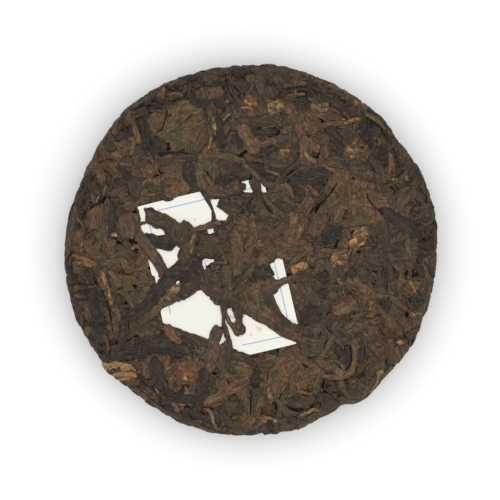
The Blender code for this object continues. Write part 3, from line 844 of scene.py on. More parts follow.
# %% Strands of the face
STRANDS = """
folded black 1.5  -18.5 46.5  -17 44.5  -15.5 43.3  -12 43.5  -8 43.2  -5.5 42.5
folded black 1.2  -6 49.5  -5 47  -3.5 46
folded dark 1.9  16 38.6  10 38.2  4 38  -2 37.6  -6 36
folded warm 1.0  9.5 48.3  13 49  17 49.2
folded black 0.9  8.5 45.3  11.5 47  14.5 47.8  18 47.5  20.3 46.3
folded black 1.5  20.5 46.3  24.5 43.8  28.5 42  32 41
folded brown 1.3  17 40.2  22 39.8  27 39.2
folded olive 1.0  18.5 36.8  22 37  26 37.6  29 37.3
broad red 1.3  14 37.3  15 34.5  17 32  19.5 30.2  21 29.5
folded dark 1.3  26 35.5  28.5 34.5  31 33.8
rolled olive 0.8  33.7 40.5  36 39  39 36.5  42 34  43.8 32.5
folded black 1.2  0 35.3  3 34.8  6 34.8  8 35
folded warm 1.2  2 31  5 31.8  8 33.3
folded black 0.9  0 28  3 28.4  6 29.5  8 30.3
folded brown 1.2  -15.8 27.8  -12 28.1  -7 27.9  -3.5 26.8  -1 25.6
stem brown 0.5  11.3 35  12.5 32.8  13.2 30.8
folded black 1.8  11.5 19.5  15.5 21  19.5 22.5  24 23.5
folded dark 0.8  7.5 19.5  10 22  13 25  16 27.5
rolled dark 0.7  10 20.5  13 23  17 25.2
folded red 0.8  3.5 20.2  6 19.2  8.5 20.2
stem olive 0.7  4.5 23.5  6.5 23  9 22
folded brown 0.9  -3 25.5  -0.5 24.2  1.5 22.3  3 20.8
folded olive 1.3  -15.3 26.3  -14.8 23.5  -14.2 20.5  -13.5 18
folded warm 1.0  -12.9 22  -11.8 20  -10.8 18.5
folded brown 0.8  3.5 17  5.5 14  8 11.5  10.5 9.5
folded dark 0.9  2.6 17.5  2.6 14  2.2 11
folded olive 1.2  0.5 9  1 6.5  1.8 4
folded warm 1.1  -34.5 38.5  -34.2 36.5  -33.2 34  -32.8 31.5
rolled warm 0.8  -36.2 33.2  -34.8 32.4  -34.6 30.4  -35.5 28
folded black 1.1  -32 38.3  -31.2 35.5  -31 32  -30.5 29.5
rolled black 0.7  -30.8 38  -30 35  -29.3 31.5  -29 28.5  -28.5 26.3
stem warm 0.4  -30 29  -29.3 27  -28.4 25.3
folded black 0.8  -26 28.4  -23 28.8  -19 28.7
folded dark 1.2  -27.5 26.3  -24 26  -21 26.8  -17 27.3  -15 27.2
folded warm 1.4  -44.5 28.5  -41 28.5  -37 28.5
folded red 0.8  -39 25.6  -37 25.3  -35 25
folded warm 0.9  -47.7 19  -47 16  -46.3 13.8
stem olive 0.5  -51.5 9.7  -50.3 8  -49.5 6.8
folded dark 1.2  -42.8 15.5  -42.5 12  -43 8.5
folded black 1.1  -41 14  -41.2 10  -41 6  -41.5 3
folded rust 0.8  -52.5 -1.5  -49 -2.5  -45.5 -4.5
folded rust 0.8  -52.5 -3.8  -49 -4.2  -46.5 -4.8
folded olive 1.4  -41.5 -6.5  -39.5 -8.5  -38.5 -11.5
folded olive 0.7  -39.5 -12  -37.5 -13  -35.8 -14.5  -34.5 -17
folded olive 1.2  -37.5 -2.5  -36.8 -5  -35.5 -7
folded brown 1.4  -33 -7  -31 -8.5  -29.5 -9
folded black 1.4  -36.5 -17.5  -37.3 -20.5  -37.2 -24.5  -38.5 -28.5
folded olive 0.7  -38.6 -18.5  -38.9 -21
stem red 0.6  -43 -25  -42.5 -27.5  -42 -30
broad rust 1.4  -24.5 -22  -23.3 -25  -20.5 -27.5
folded black 1.0  -37.5 -31.5  -33 -31.5  -29 -29.8  -24.5 -30.2  -20 -31.5
rolled dark 0.6  -19.5 -28.5  -18.3 -30.3  -17 -31.7
rolled black 2.0  -28.5 -32  -28 -36  -27 -40  -24 -43.5
rolled black 1.8  -13.5 -34.5  -14 -38.5  -15 -43
folded black 1.8  -37.5 -38.5  -34 -42  -29 -45.5  -23 -48.5
folded dark 1.4  -30.5 -43.5  -26.5 -46.8  -21 -49.5  -15 -51.2
broad black 2.2  -35 -37.5  -31.5 -40  -28 -43.5
folded black 1.3  -20 -47  -15 -49.3  -9 -50.5
folded black 1.6  -25 -43.5  -20 -44.2  -15 -43.8  -10.5 -44.5
folded warm 1.6  -13.5 -45.8  -10 -43.8  -6.5 -41.5  -3 -39.5  0 -38
folded brown 1.3  -1.3 -40.8  -1.2 -44.5  -0.4 -48  0 -50
folded dark 1.6  2.5 -40.5  1.8 -44.5  1.5 -49  0.8 -52.5
folded warm 1.0  4 -43  2.7 -46.5  1.8 -50
folded brown 0.8  7.5 -43.8  9.5 -46.3  12.5 -48.2  16 -49.3
folded dark 1.3  10.5 -44  13.5 -45.8  17 -45.5  19.5 -44
folded warm 0.7  13 -41.8  15.5 -42.2  17.5 -43.2  19.2 -43
folded dark 1.4  1 -32  4 -34  7 -33.5
rolled warm 1.2  30.8 -26  31 -30  30.5 -33.5  29 -36  25 -37.8  22 -38
folded black 1.0  32.8 -26.5  32.9 -30  32.3 -33.5
folded olive 1.2  24 -33.5  25.5 -35.5  27.5 -36.3
folded warm 1.4  20 -33  22.5 -34.3  24 -36
rolled tan 0.7  39.8 -36.5  38.2 -36  37.6 -38.3  36 -40.5  35 -41.5
folded warm 0.8  42.8 -28  43.3 -30  44.2 -32.3
stem olive 0.9  35.5 -13.7  39 -13.7  42 -14.3  44 -16  46.5 -17.8
folded olive 0.6  29.5 -20  33 -18.8  35 -18.5
folded brown 1.2  51.5 -2  51.8 -6  52.8 -9
rolled warm 0.6  45.5 -4  44.3 -8  43.8 -12  44.5 -14.5
folded olive 1.1  46 3.5  46.5 0.5  46.2 -3
rolled brown 0.7  48.8 15.5  50.5 13.5  51.3 11.5  51.8 9.5  52.5 8.5
folded warm 0.9  35.8 16.5  36.6 14  38 12
folded dark 1.6  37.5 29  37 26.5  38.5 22  38.5 17
rolled warm 0.8  41.2 29.3  42 27  41.6 24.5  41 22.5
stem warm 0.6  29.3 20  29.5 17  29.3 14
folded olive 0.9  20.8 -0.2  23.5 -0.3  26.5 -0.6  29.5 0
rolled olive 0.9  11.8 -5  13.5 -2.8  15.5 -1.2  18.7 -0.8
"""
lay_listed(STRANDS)

# %% Fill what the strands left open
LATE_FILLERS = 160
LATE_SIZE = 0.42
for _ in range(LATE_FILLERS):
    random_leaf("face", "broad", low_place("face", FILLER_TRIES), LATE_SIZE, clear_of_opening)

# %% Bright bits
BRIGHT_BITS = """
scrap red 0.9  -16.3 46.5  -14.5 46
scrap orange 0.8  -14.8 47.2  -13.2 47.5
tip golden 0.8  -12 41.5  -10.8 38  -10.2 34
stem golden 0.5  -11.3 33.5  -11.8 31.5  -12.3 29.5
tip golden 0.6  -5.5 40.8  -7 39.3  -8.2 38.2
scrap orange 0.9  -7.3 44.5  -6 43.7
stem olive 0.5  1.2 49.5  0 47.5  -1.5 46.2
scrap orange 1.4  -1.5 45.8  0 44.4  2 42.5
stem tan 0.5  -2.8 42.3  -0.5 42.2  1 41.5
tip golden 0.9  -26.2 48.2  -25.6 46.8  -24.9 45.5
stem olive 0.35  -43 29.9  -41.5 29.9  -40 29.8
scrap orange 0.7  -40.2 26.3  -39.8 24.8
scrap tan 0.7  -46.5 26.8  -45.8 25.5
tip orange 0.8  -31.5 24.3  -30 23.5  -28.7 22.7
stem tan 0.35  -43 19.3  -43.7 17.5  -44 16
stem tan 0.3  -45 17  -45.5 15.5  -46 14
tip orange 0.7  -41.2 4.4  -40 4.5  -38.8 4.2
tip orange 0.7  -35 0  -34 1  -32.3 0.3
tip orange 1.0  -50 -1.2  -49.7 0.8
stem golden 0.4  -50 0.8  -49.8 2.6
tip orange 0.7  -44.5 -6  -43.3 -8  -42 -11  -41.3 -14  -40.7 -16.3
scrap rust 1.2  -52 -13  -50.8 -14.2  -49.8 -15.8
tip rust 0.9  -35.3 -21.5  -34.5 -23.5  -32 -23.7
rolled golden 2.3  -43.4 -34.3  -39 -34.8  -34.0 -35.4
rolled orange 1.4  -40 -36.8  -36.5 -37.2  -33.4 -37.2
broad golden 0.8  -39.5 -38  -37 -38.3  -35.2 -38
tip rust 0.9  -32 -33  -31.5 -35.5  -32 -38
stem tan 0.5  -28.3 -41  -27.6 -42  -26.8 -42.9
broad rust 2.6  -22 -34.8  -18.5 -36.3  -15.8 -38
tip orange 0.8  -21.5 -35.5  -20 -38  -17.5 -38.8
scrap rust 0.6  -22.8 -39.5  -21.5 -40.3
scrap tan 0.5  -14.8 -39  -14.6 -40.3
stem tan 0.6  -12.8 -46.8  -11.2 -48.5  -10.8 -50.5  -10 -52.3
scrap orange 0.5  -10.5 -52.2  -9.2 -52.8  -8.8 -51.8
stem olive 0.6  -11.5 -46.3  -9.5 -45.6  -8 -45.1
scrap near_black 1.2  -6.2 -43.8  -4.2 -44
tip orange 0.8  5.3 -40.3  5.8 -43  6.3 -45.5
scrap orange 2.0  2.4 -50.6  5.5 -50.7  8.2 -50.6
scrap orange 0.8  -3 -53  -1 -53.4
tip orange 0.8  14.5 -48.6  17 -48.6  19 -47.9  21 -48.3
tip rust 0.6  20.2 -31  22 -31.2  23.3 -31.8
scrap tan 0.8  29 -39  30.8 -37.8
scrap olive 0.9  37.5 -28.5  38.3 -27  39.5 -26.5
scrap warm 1.2  35.5 -29.5  37.5 -28.8
tip orange 0.8  42.5 -27  43.8 -26.8  45.2 -27.2
tip olive 0.6  27.5 -9.5  29.5 -10.5  32.3 -12.3
stem tan 0.5  26.5 -8  26.2 -9.3  27.8 -10
scrap red 0.9  27.5 -13  28.5 -15.5
scrap rust 1.0  35.5 -14.7  35 -16.5  34.4 -18.2
scrap orange 0.9  46.8 -19  50.3 -19
stem golden 0.5  46.8 -9  48 -11  48.7 -12.8
tip orange 0.5  46 -8  47 -8
scrap rust 0.9  36 -6.5  37.5 -8
scrap tan 0.6  37.2 -20.5  37.7 -22
scrap warm 1.2  37.5 1.5  39 1
scrap warm 0.9  35.5 7  36.5 6.5
scrap olive 0.6  35.8 4.2  37.3 3.9
stem olive 0.5  29.3 6.2  31.5 6.4  33 6.4
stem olive 0.6  29 6.3  28.8 4.7  29.8 3.3
scrap orange 1.9  29.8 0.8  31.5 2.8  33 4.5  35.4 5.2
stem golden 0.4  30.1 0.5  29.7 -0.4  29 -1.5
scrap orange 1.8  23.6 -3.4  26.5 -3  29.2 -2.4
scrap orange 1.9  11.6 -6.2  14.2 -5.2  17 -4.6
scrap tan 0.6  1.9 2.7  3.4 2.7
scrap tan 0.5  5.8 7.5  6.8 7.7
tip rust 0.9  14.5 11.2  15.3 9.5  15 7.5
stem tan 0.4  15 7.2  14.6 5.8  14.5 5
stem rust 0.35  19.5 5.3  18.7 3.6
scrap rust 0.9  21.5 11.5  22.8 11
tip rust 0.9  16.5 19.3  18.5 18  20.5 15.5
scrap tan 0.4  13 17.8  13.2 16.9
scrap tan 0.4  15 16.2  15.6 15.6
stem olive 0.6  11 45.6  13.5 46  16.5 46.2
scrap tan 1.7  18.3 43.6  20.8 42.6  23.6 42
stem olive 0.5  17 44.8  18.8 44.3  20.2 42.8
tip golden 0.8  6.3 40.3  8 42  10.2 43.4
stem tan 0.5  5.5 41  6.2 42.6  7.6 43.9
scrap golden 1.7  5 40.8  7.5 42  10 43.5
tip orange 0.8  26.7 45.5  28.5 45  30.5 44.7
tip orange 0.8  30.6 44.6  31.3 43.5  31.1 42.3
tip orange 0.7  27.5 37.2  30.5 38.2  33 38.7
stem golden 0.4  27 38.8  28.3 38.6
stem warm 0.5  24.5 41.9  26 40.7  26.7 39.5
stem tan 0.3  16.2 37.8  16.6 36.5  16.4 35
scrap rust 0.7  37.5 31.2  39.5 31.8
scrap tan 2.1  28.4 30.6  30.5 29.5  33 28.6
stem tan 0.4  30.5 29  32 29.2  33.7 29.3
folded tan 0.7  16 29  18 27  19.8 25.8
stem tan 0.4  22 24.4  23.2 24.1  24.3 23.5
scrap rust 1.3  33.2 21.6  34.8 22  36.2 21.3
scrap tan 1.0  41.3 20.2  42.5 20.8  43.6 20.2
scrap tan 1.1  45.3 21  47 20.6
scrap tan 1.5  8.4 29.6  10 28.6  11.4 27.4
scrap rust 1.5  -5.2 18.3  -3.8 18.2  -2.6 17.5
scrap red 0.7  -3 19.5  -2 19
"""
lay_listed(BRIGHT_BITS)

# %% Painted shadow strips in the folds
CREVICE_SHADOW_STRIPS = """
-27.5 34.5  -25.5 36  -24.8 39  -24.2 41
-19 38  -16.5 40.5
-24 47  -20 46.5
-22.5 44.2  -19 45.3
-6.5 51  -5 47
11 47.4  14 48.2  17 48  19.5 47
-43 33  -41 34
-38.5 30  -37 30.8
-36.8 24  -35.8 22  -36.6 20.5
-29.8 35  -29 30
-26 28.5  -23 28.7  -18 28.6
-13 23.5  -11 20.5  -10 19.5
11.5 24.7  14 27.2
10.5 21.5  14.5 24.5
33.5 28  35.5 26  36.8 23.5  37.5 22.8
43 29  44 25
17.5 10.5  19 12.5  21.5 14.2  23.5 16.5  26 20
3 16  4.5 13.3  7 10.5
34.5 17  35 15  36.5 12.8  38.2 11.3  39.5 10.3
48 15  50 12.5  51 10  51 8
-48 14.5  -47 14
-39 13.8  -37 13.7
-36.5 20  -36 16
-46.5 -7  -44.5 -11  -42.5 -14.5  -41.5 -18  -41 -21  -40.5 -25
-21.5 -46.5  -17 -46.3  -13 -46.5
5.5 -36  5 -39
-34.5 -40.5  -30 -44  -24 -47.5
-27 -48.3  -20 -50.7
-33 -38  -30.5 -41.5
0.3 -41  0.2 -49
29.8 -28  29.8 -33  28 -35.5
31.5 -34  31 -36.5  27 -38.5  24 -39
11 -46.5  14 -47.8  19 -47
16 -41.7  20 -41.7
15 -43  18.5 -43.8
34.5 -36.5  36 -38.5
41.5 -33.5  43 -34.5
"""
SHADOW_STRIP_HALF_WIDTH = 0.22
# Thin near-black strips laid along the crevices: painted shadow.
for row in CREVICE_SHADOW_STRIPS.strip().splitlines():
    line = [(x, y, SHADOW_STRIP_HALF_WIDTH) for x, y in from_above(row.split())]
    lay_leaf("face", "shadow_strip", line, "shadow_black", 1, 1.0)

# %% [markdown]
# ## The press
# The pile is uneven by a millimetre or more. A press takes out the broad unevenness and flattens what
# stands up, while the gaps between leaves stay. It maps heights onto heights and never changes their
# order, so no leaf passes through another.

# %% Press the pile
TREND_RADIUS = 2.4  # unevenness broader than this is pressed out
PRESS_TOP = 0.26  # the highest that anything stands over the nominal face
PRESS_BOTTOM = 0.5  # the deepest that a gap goes
FUSED = 0.46  # what the press leaves of a small step
FUSED_DEPTH = 0.3  # steps deeper than this stay open
SURFACE_LIFT = 0.10  # level of the pressed mean
RIM_STARTS, RIM_FULL = 45.0, 52.0  # distances from a chart's middle where the press lets go
RIM_LOOSENESS = 1.5  # how much more unevenness stays on the rim
trends = {side: blurred(bed, TREND_RADIUS) for side, bed in beds.items()}


def pressed(side, u, v, height):
    """Height over the cake's surface after pressing."""
    loose = 1 + RIM_LOOSENESS * np.clip((np.hypot(u, v) - RIM_STARTS) / (RIM_FULL - RIM_STARTS), 0, 1)
    over = loose * (height - read_grid(trends[side], u, v)) + SURFACE_LIFT
    top = PRESS_TOP * loose
    up = top * np.tanh(FUSED * np.maximum(over, 0) / top)
    depth = np.maximum(-over, 0)
    down = FUSED * depth + np.maximum(depth - FUSED_DEPTH, 0)
    return up - PRESS_BOTTOM * np.tanh(down / PRESS_BOTTOM)


surfaces = {side: pressed(side, grid_u, grid_v, bed) for side, bed in beds.items()}
# the smoothed surroundings from which the painted crevice shade is measured
around = {side: blurred(surface, 0.45) for side, surface in surfaces.items()}
for side, surface in surfaces.items():
    inner = surface[np.hypot(grid_u, grid_v) < LEAF_REACH]
    print(
        f"{side}: pressed surface from {inner.min():.2f} to {inner.max():.2f} mm, mean {inner.mean():.2f}"
    )

# %% [markdown]
# ## From leaves to meshes
# Each leaf becomes a closed shell: a curved upper side, a plain underside and two pointed ends. Leaves of
# one kind are joined in one mesh, which keeps the file small and lets each kind have its own material. A
# leaf also carries what its material needs: its tone, its own coordinates along and across, how deep each
# point lies in a crevice and how near it is to the leaf's edge.

# %% One leaf's shell
UNDERSIDE_GAP = 0.12
BED_HOLD = 0.12  # how far bed leaves stay under the paper
# how far below its surroundings a point lies when the painted crevice shade is full
CREVICE_SHADE_DEPTH = 0.42


def leaf_shell(leaf):
    """Points, faces, attributes, size and grid of one leaf's shell."""
    side, u, v = leaf["side"], leaf["u"], leaf["v"]
    top, under = leaf["top"], leaf["under"]
    if leaf["seed"] <= bed_leaves and side == "face":
        limit = read_grid(ceiling, u, v) - BED_HOLD
        top, under = np.minimum(top, limit), np.minimum(under, limit - 0.05)
    lift = pressed(side, u, v, top)
    middle = u.shape[1] // 2
    low = pressed(side, u[:, middle], v[:, middle], under[:, middle] - UNDERSIDE_GAP)
    ring_u = np.concatenate([u, u[:, middle : middle + 1]], 1)
    ring_v = np.concatenate([v, v[:, middle : middle + 1]], 1)
    ring_h = np.concatenate([lift, low[:, None]], 1)
    rows, ring = ring_u.shape
    points = on_cake(side, ring_u, ring_v, ring_h).reshape(-1, 3)
    ends = points.reshape(rows, ring, 3)[[0, -1]].mean(1)
    number = np.arange(rows * ring).reshape(rows, ring)
    after = np.roll(number, -1, axis=1)
    quads = np.stack([number[:-1], number[1:], after[1:], after[:-1]], -1).reshape(-1, 4)
    first = np.stack([number[0], after[0], np.full(ring, rows * ring)], -1)
    last = np.stack([after[-1], number[-1], np.full(ring, rows * ring + 1)], -1)
    if side == "back":
        quads, first, last = quads[:, ::-1], first[:, ::-1], last[:, ::-1]
    # How far each point lies below its surroundings, which the material paints as shade. The underside points get full
    # painted shade and the two ends part of it.
    crevice_shade = (read_grid(around[side], ring_u, ring_v) - ring_h) / CREVICE_SHADE_DEPTH
    crevice_shade[:, -1] = 1
    along = np.broadcast_to(leaf["walk"][:, None], (rows, ring))
    side_reach = np.where(leaf["across"] < 0, -leaf["reach"][:, :1], leaf["reach"][:, -1:])
    from_end = np.minimum(along, leaf["walk"][-1] - along)[:, :-1]
    edge = np.minimum((1 - np.abs(leaf["across"])) * side_reach, from_end)
    edge = np.concatenate([edge, np.zeros((rows, 1))], 1)
    reach = np.concatenate([leaf["reach"], np.zeros((rows, 1))], 1)
    place = np.stack([along, reach, np.full((rows, ring), 7.3 * leaf["seed"])], -1).reshape(-1, 3)
    pad = lambda x, fill: np.concatenate([x.reshape(-1), [fill, fill]])
    return dict(
        points=np.vstack([points, ends]),
        faces=[quads, first, last],
        crevice_shade=pad(np.clip(crevice_shade, 0, 1), 0.6),
        edge=pad(edge, 0.0),
        place=np.vstack([place, place[:1], place[-1:]]),
        size=(float(leaf["walk"][-1]), float(2 * np.abs(leaf["reach"]).max())),
        grid=(rows, ring),
    )


# %% Which leaves show
def shown_share(leaf):
    """Share of a leaf's upper side that no later leaf covers."""
    bed = beds[leaf["side"]]
    inner = leaf["top"][1:-1, 1:-1]
    over = read_grid(bed, leaf["u"][1:-1, 1:-1], leaf["v"][1:-1, 1:-1])
    seen = inner > over - 0.10
    over_ticket = leaf["seed"] > bed_leaves and leaf["side"] == "face" and on_paper.reshape(-1)[leaf["cells"]].any()
    return float(seen.any() if over_ticket else seen.mean())


shown = [leaf for leaf in leaves if shown_share(leaf) > 0.03]
print(f"{len(shown)} of {len(leaves)} leaves show")

# %% [markdown]
# For baking, each piece needs a flat map of its surface. A leaf unrolls into a rectangle, so the map is
# laid out like stamps on a sheet: rows of rectangles, tallest first.

# %% Lay out the map of a piece
MAP_MARGIN = 0.35


def sheet_of_stamps(sizes):
    """Lower left corners and the sheet's side for rectangles (length, width), packed in rows."""
    side = math.sqrt(sum((a + MAP_MARGIN) * (b + MAP_MARGIN) for a, b in sizes)) * 1.04
    order = sorted(range(len(sizes)), key=lambda i: -sizes[i][1])
    corners = [None] * len(sizes)
    x = y = row = 0.0
    for i in order:
        length, width = sizes[i]
        if x + length > side and x > 0:
            x, y, row = 0.0, y + row + MAP_MARGIN, 0.0
        corners[i] = (x, y)
        x += length + MAP_MARGIN
        row = max(row, width)
    return corners, max(side, y + row, max(s[0] for s in sizes))


def shell_map(shell, corner, sheet):
    """Map corners for each face of one leaf's shell, in the order of its faces."""
    rows, ring = shell["grid"]
    length, width = shell["size"]
    width = 2.1 * max(width, 0.3) / 2
    x = corner[0] + np.linspace(0.06, 0.94, rows) * length
    y = corner[1] + np.linspace(0, 1, ring + 1) * width
    grid_x, grid_y = np.meshgrid(x, y, indexing="ij")
    lay = np.stack([grid_x, grid_y], -1)
    quads = np.stack([lay[:-1, :-1], lay[1:, :-1], lay[1:, 1:], lay[:-1, 1:]], 2).reshape(-1, 4, 2)
    tip_x = corner[0], corner[0] + length
    middle = corner[1] + width / 2
    tips = [np.broadcast_to(np.array([at, middle]), (ring, 2)) for at in tip_x]
    first = np.stack([lay[0, :-1], lay[0, 1:], tips[0]], 1)
    last = np.stack([lay[-1, 1:], lay[-1, :-1], tips[1]], 1)
    return [part / sheet for part in (quads, first, last)]


# %% Join leaves into one piece
def leaf_piece(name, members, material):
    """One mesh object of all these leaves."""
    shells = [leaf_shell(leaf) for leaf in members]
    corners, sheet = sheet_of_stamps([(s["size"][0], 1.05 * max(s["size"][1], 0.3)) for s in shells])
    points, faces, places_on_map, start = [], [], [], 0
    for leaf, shell, corner in zip(members, shells, corners):
        layout = shell_map(shell, corner, sheet)
        for part, mapped in zip(shell["faces"], layout):
            if leaf["side"] == "back":
                mapped = mapped[:, ::-1]
            faces.extend((part + start).tolist())
            places_on_map.append(mapped.reshape(-1, 2))
        points.append(shell["points"])
        start += len(shell["points"])
    mesh = bpy.data.meshes.new(name)
    mesh.from_pydata((np.vstack(points) * MM).tolist(), [], faces)
    layer = mesh.uv_layers.new(name="OFBake")
    layer.uv.foreach_set("vector", np.vstack(places_on_map).astype(np.float32).ravel())
    counts = [len(s["points"]) for s in shells]
    tones = np.repeat([np.append(leaf["colour"], 1.0) for leaf in members], counts, axis=0)
    store(mesh, "leaf_tone", "FLOAT_COLOR", "color", tones)
    store(mesh, "leaf_place", "FLOAT_VECTOR", "vector", np.vstack([s["place"] for s in shells]))
    store(mesh, "crevice_shade", "FLOAT", "value", np.concatenate([s["crevice_shade"] for s in shells]))
    store(mesh, "leaf_edge", "FLOAT", "value", np.concatenate([s["edge"] for s in shells]))
    mesh.shade_smooth()
    mesh.materials.append(material)
    piece = bpy.data.objects.new(name, mesh)
    bpy.context.scene.collection.objects.link(piece)
    triangles = sum(len(f) - 2 for f in faces)
    print(f"{name}: {len(members)} leaves, {triangles} triangles, map sheet {sheet:.0f} mm")
    return piece


def store(mesh, name, kind, field, values):
    """A named attribute on the mesh's points."""
    attribute = mesh.attributes.new(name, kind, "POINT")
    attribute.data.foreach_set(field, np.asarray(values, np.float32).ravel())


# %% [markdown]
# ## Leaf finish
# Dry pressed leaf is matt, finely wrinkled along its length, mottled, and dusted with pale specks of leaf
# fluff. Crevices, fold grooves and stretches of leaf edges get painted shade, and fold ridges a painted
# highlight. These effects are shared by all the leaf materials, so they are shader node groups, each with
# its own inputs.

# %% Helpers for node groups
def new_group(name, inputs, outputs):
    """An empty shader node group with these (name, type, default) inputs and (name, type) outputs."""
    group = bpy.data.node_groups.new(name, "ShaderNodeTree")
    for label, kind, default in inputs:
        group.interface.new_socket(label, in_out="INPUT", socket_type=kind).default_value = default
    for label, kind in outputs:
        group.interface.new_socket(label, in_out="OUTPUT", socket_type=kind)
    return group, group.nodes.new("NodeGroupInput"), group.nodes.new("NodeGroupOutput")


class Wiring:
    """Short ways to add and link the nodes of one tree."""

    def __init__(self, tree):
        self.tree = tree

    def node(self, kind, **settings):
        made = self.tree.nodes.new(kind)
        for key, value in settings.items():
            setattr(made, key, value)
        return made

    def put(self, value, socket):
        if isinstance(value, bpy.types.NodeSocket):
            self.tree.links.new(value, socket)
        else:
            socket.default_value = value

    def math(self, operation, a, b=0.0, clamp=False):
        made = self.node("ShaderNodeMath", operation=operation, use_clamp=clamp)
        self.put(a, made.inputs[0])
        self.put(b, made.inputs[1])
        return made.outputs[0]

    def mix(self, factor, a, b, blend="MIX"):
        made = self.node("ShaderNodeMix", data_type="RGBA", blend_type=blend)
        self.put(factor, made.inputs["Factor"])
        self.put(a, made.inputs[6])
        self.put(b, made.inputs[7])
        return made.outputs[2]

    def ramp(self, value, low, high, bottom=0.0, top=1.0):
        made = self.node("ShaderNodeMapRange", interpolation_type="SMOOTHSTEP")
        for socket, number in zip(made.inputs, (value, low, high, bottom, top)):
            self.put(number, socket)
        return made.outputs[0]

    def attribute(self, name):
        return self.node("ShaderNodeAttribute", attribute_name=name)

    def noise(self, vector, scale, detail=3.0, roughness=0.55, distortion=0.0):
        made = self.node("ShaderNodeTexNoise")
        self.put(vector, made.inputs["Vector"])
        settings = ("Scale", scale), ("Detail", detail), ("Roughness", roughness), ("Distortion", distortion)
        for label, number in settings:
            made.inputs[label].default_value = number
        return made.outputs["Fac"]

    def stretched(self, vector, factors):
        made = self.node("ShaderNodeVectorMath", operation="MULTIPLY")
        self.put(vector, made.inputs[0])
        made.inputs[1].default_value = factors
        return made.outputs[0]


# %% Group: relief of dry leaf
def relief_group():
    """Height of the wrinkles that run along a leaf, of the crumpled skin over the whole cake, and a mask of stretches
    along leaf edges that dips the bump and is painted as shadow.
    """
    outputs = [
        ("Wrinkles", "NodeSocketFloat"), ("Crumple", "NodeSocketFloat"), ("Edges", "NodeSocketFloat")
    ]
    group, _, out = new_group("leaf_relief", [], outputs)
    w = Wiring(group)
    place = w.attribute("leaf_place").outputs["Vector"]
    cake = w.stretched(w.node("ShaderNodeTexCoord").outputs["Object"], (1000.0, 1000.0, 1000.0))
    folds = w.noise(w.stretched(place, (0.14, 0.55, 1.0)), 1.0, 2.0, 0.5, 1.2)
    w.put(w.ramp(w.math("ABSOLUTE", w.math("SUBTRACT", folds, 0.5)), 0.0, 0.14), out.inputs["Wrinkles"])
    w.put(w.noise(cake, 0.62, 4.0, 0.6, 0.6), out.inputs["Crumple"])
    # Some stretches along leaf edges: a small dip in the bump, and painted shadow in the colour.
    edge = w.ramp(w.attribute("leaf_edge").outputs["Fac"], 0.30, 0.06)
    some = w.ramp(w.noise(w.stretched(place, (0.20, 0.5, 1.0)), 1.0, 1.0), 0.52, 0.62)
    w.put(w.math("MULTIPLY", edge, some), out.inputs["Edges"])
    return group


# %% Group: mottled colour
BLOTCHES = (  # scale per mm, low and high threshold, tint
    ("warm", 0.24, 0.48, 0.60, (1.28, 1.10, 0.92, 1.0)),
    ("rusty", 0.55, 0.60, 0.68, (1.56, 1.13, 0.84, 1.0)),
    ("olive", 0.50, 0.54, 0.66, (1.34, 1.32, 0.86, 1.0)),
    ("cool", 0.26, 0.48, 0.58, (0.72, 0.76, 0.78, 1.0)),
    ("purple", 0.42, 0.52, 0.63, (1.20, 0.87, 0.96, 1.0)),
    ("wine", 0.90, 0.54, 0.66, (1.16, 0.90, 0.94, 1.0)),
    ("moss", 0.85, 0.54, 0.66, (1.08, 1.14, 0.92, 1.0)),
    ("dusty", 0.95, 0.54, 0.68, (1.45, 1.40, 1.28, 1.0)),
    ("sooty", 0.80, 0.52, 0.66, (0.60, 0.60, 0.62, 1.0)),
)


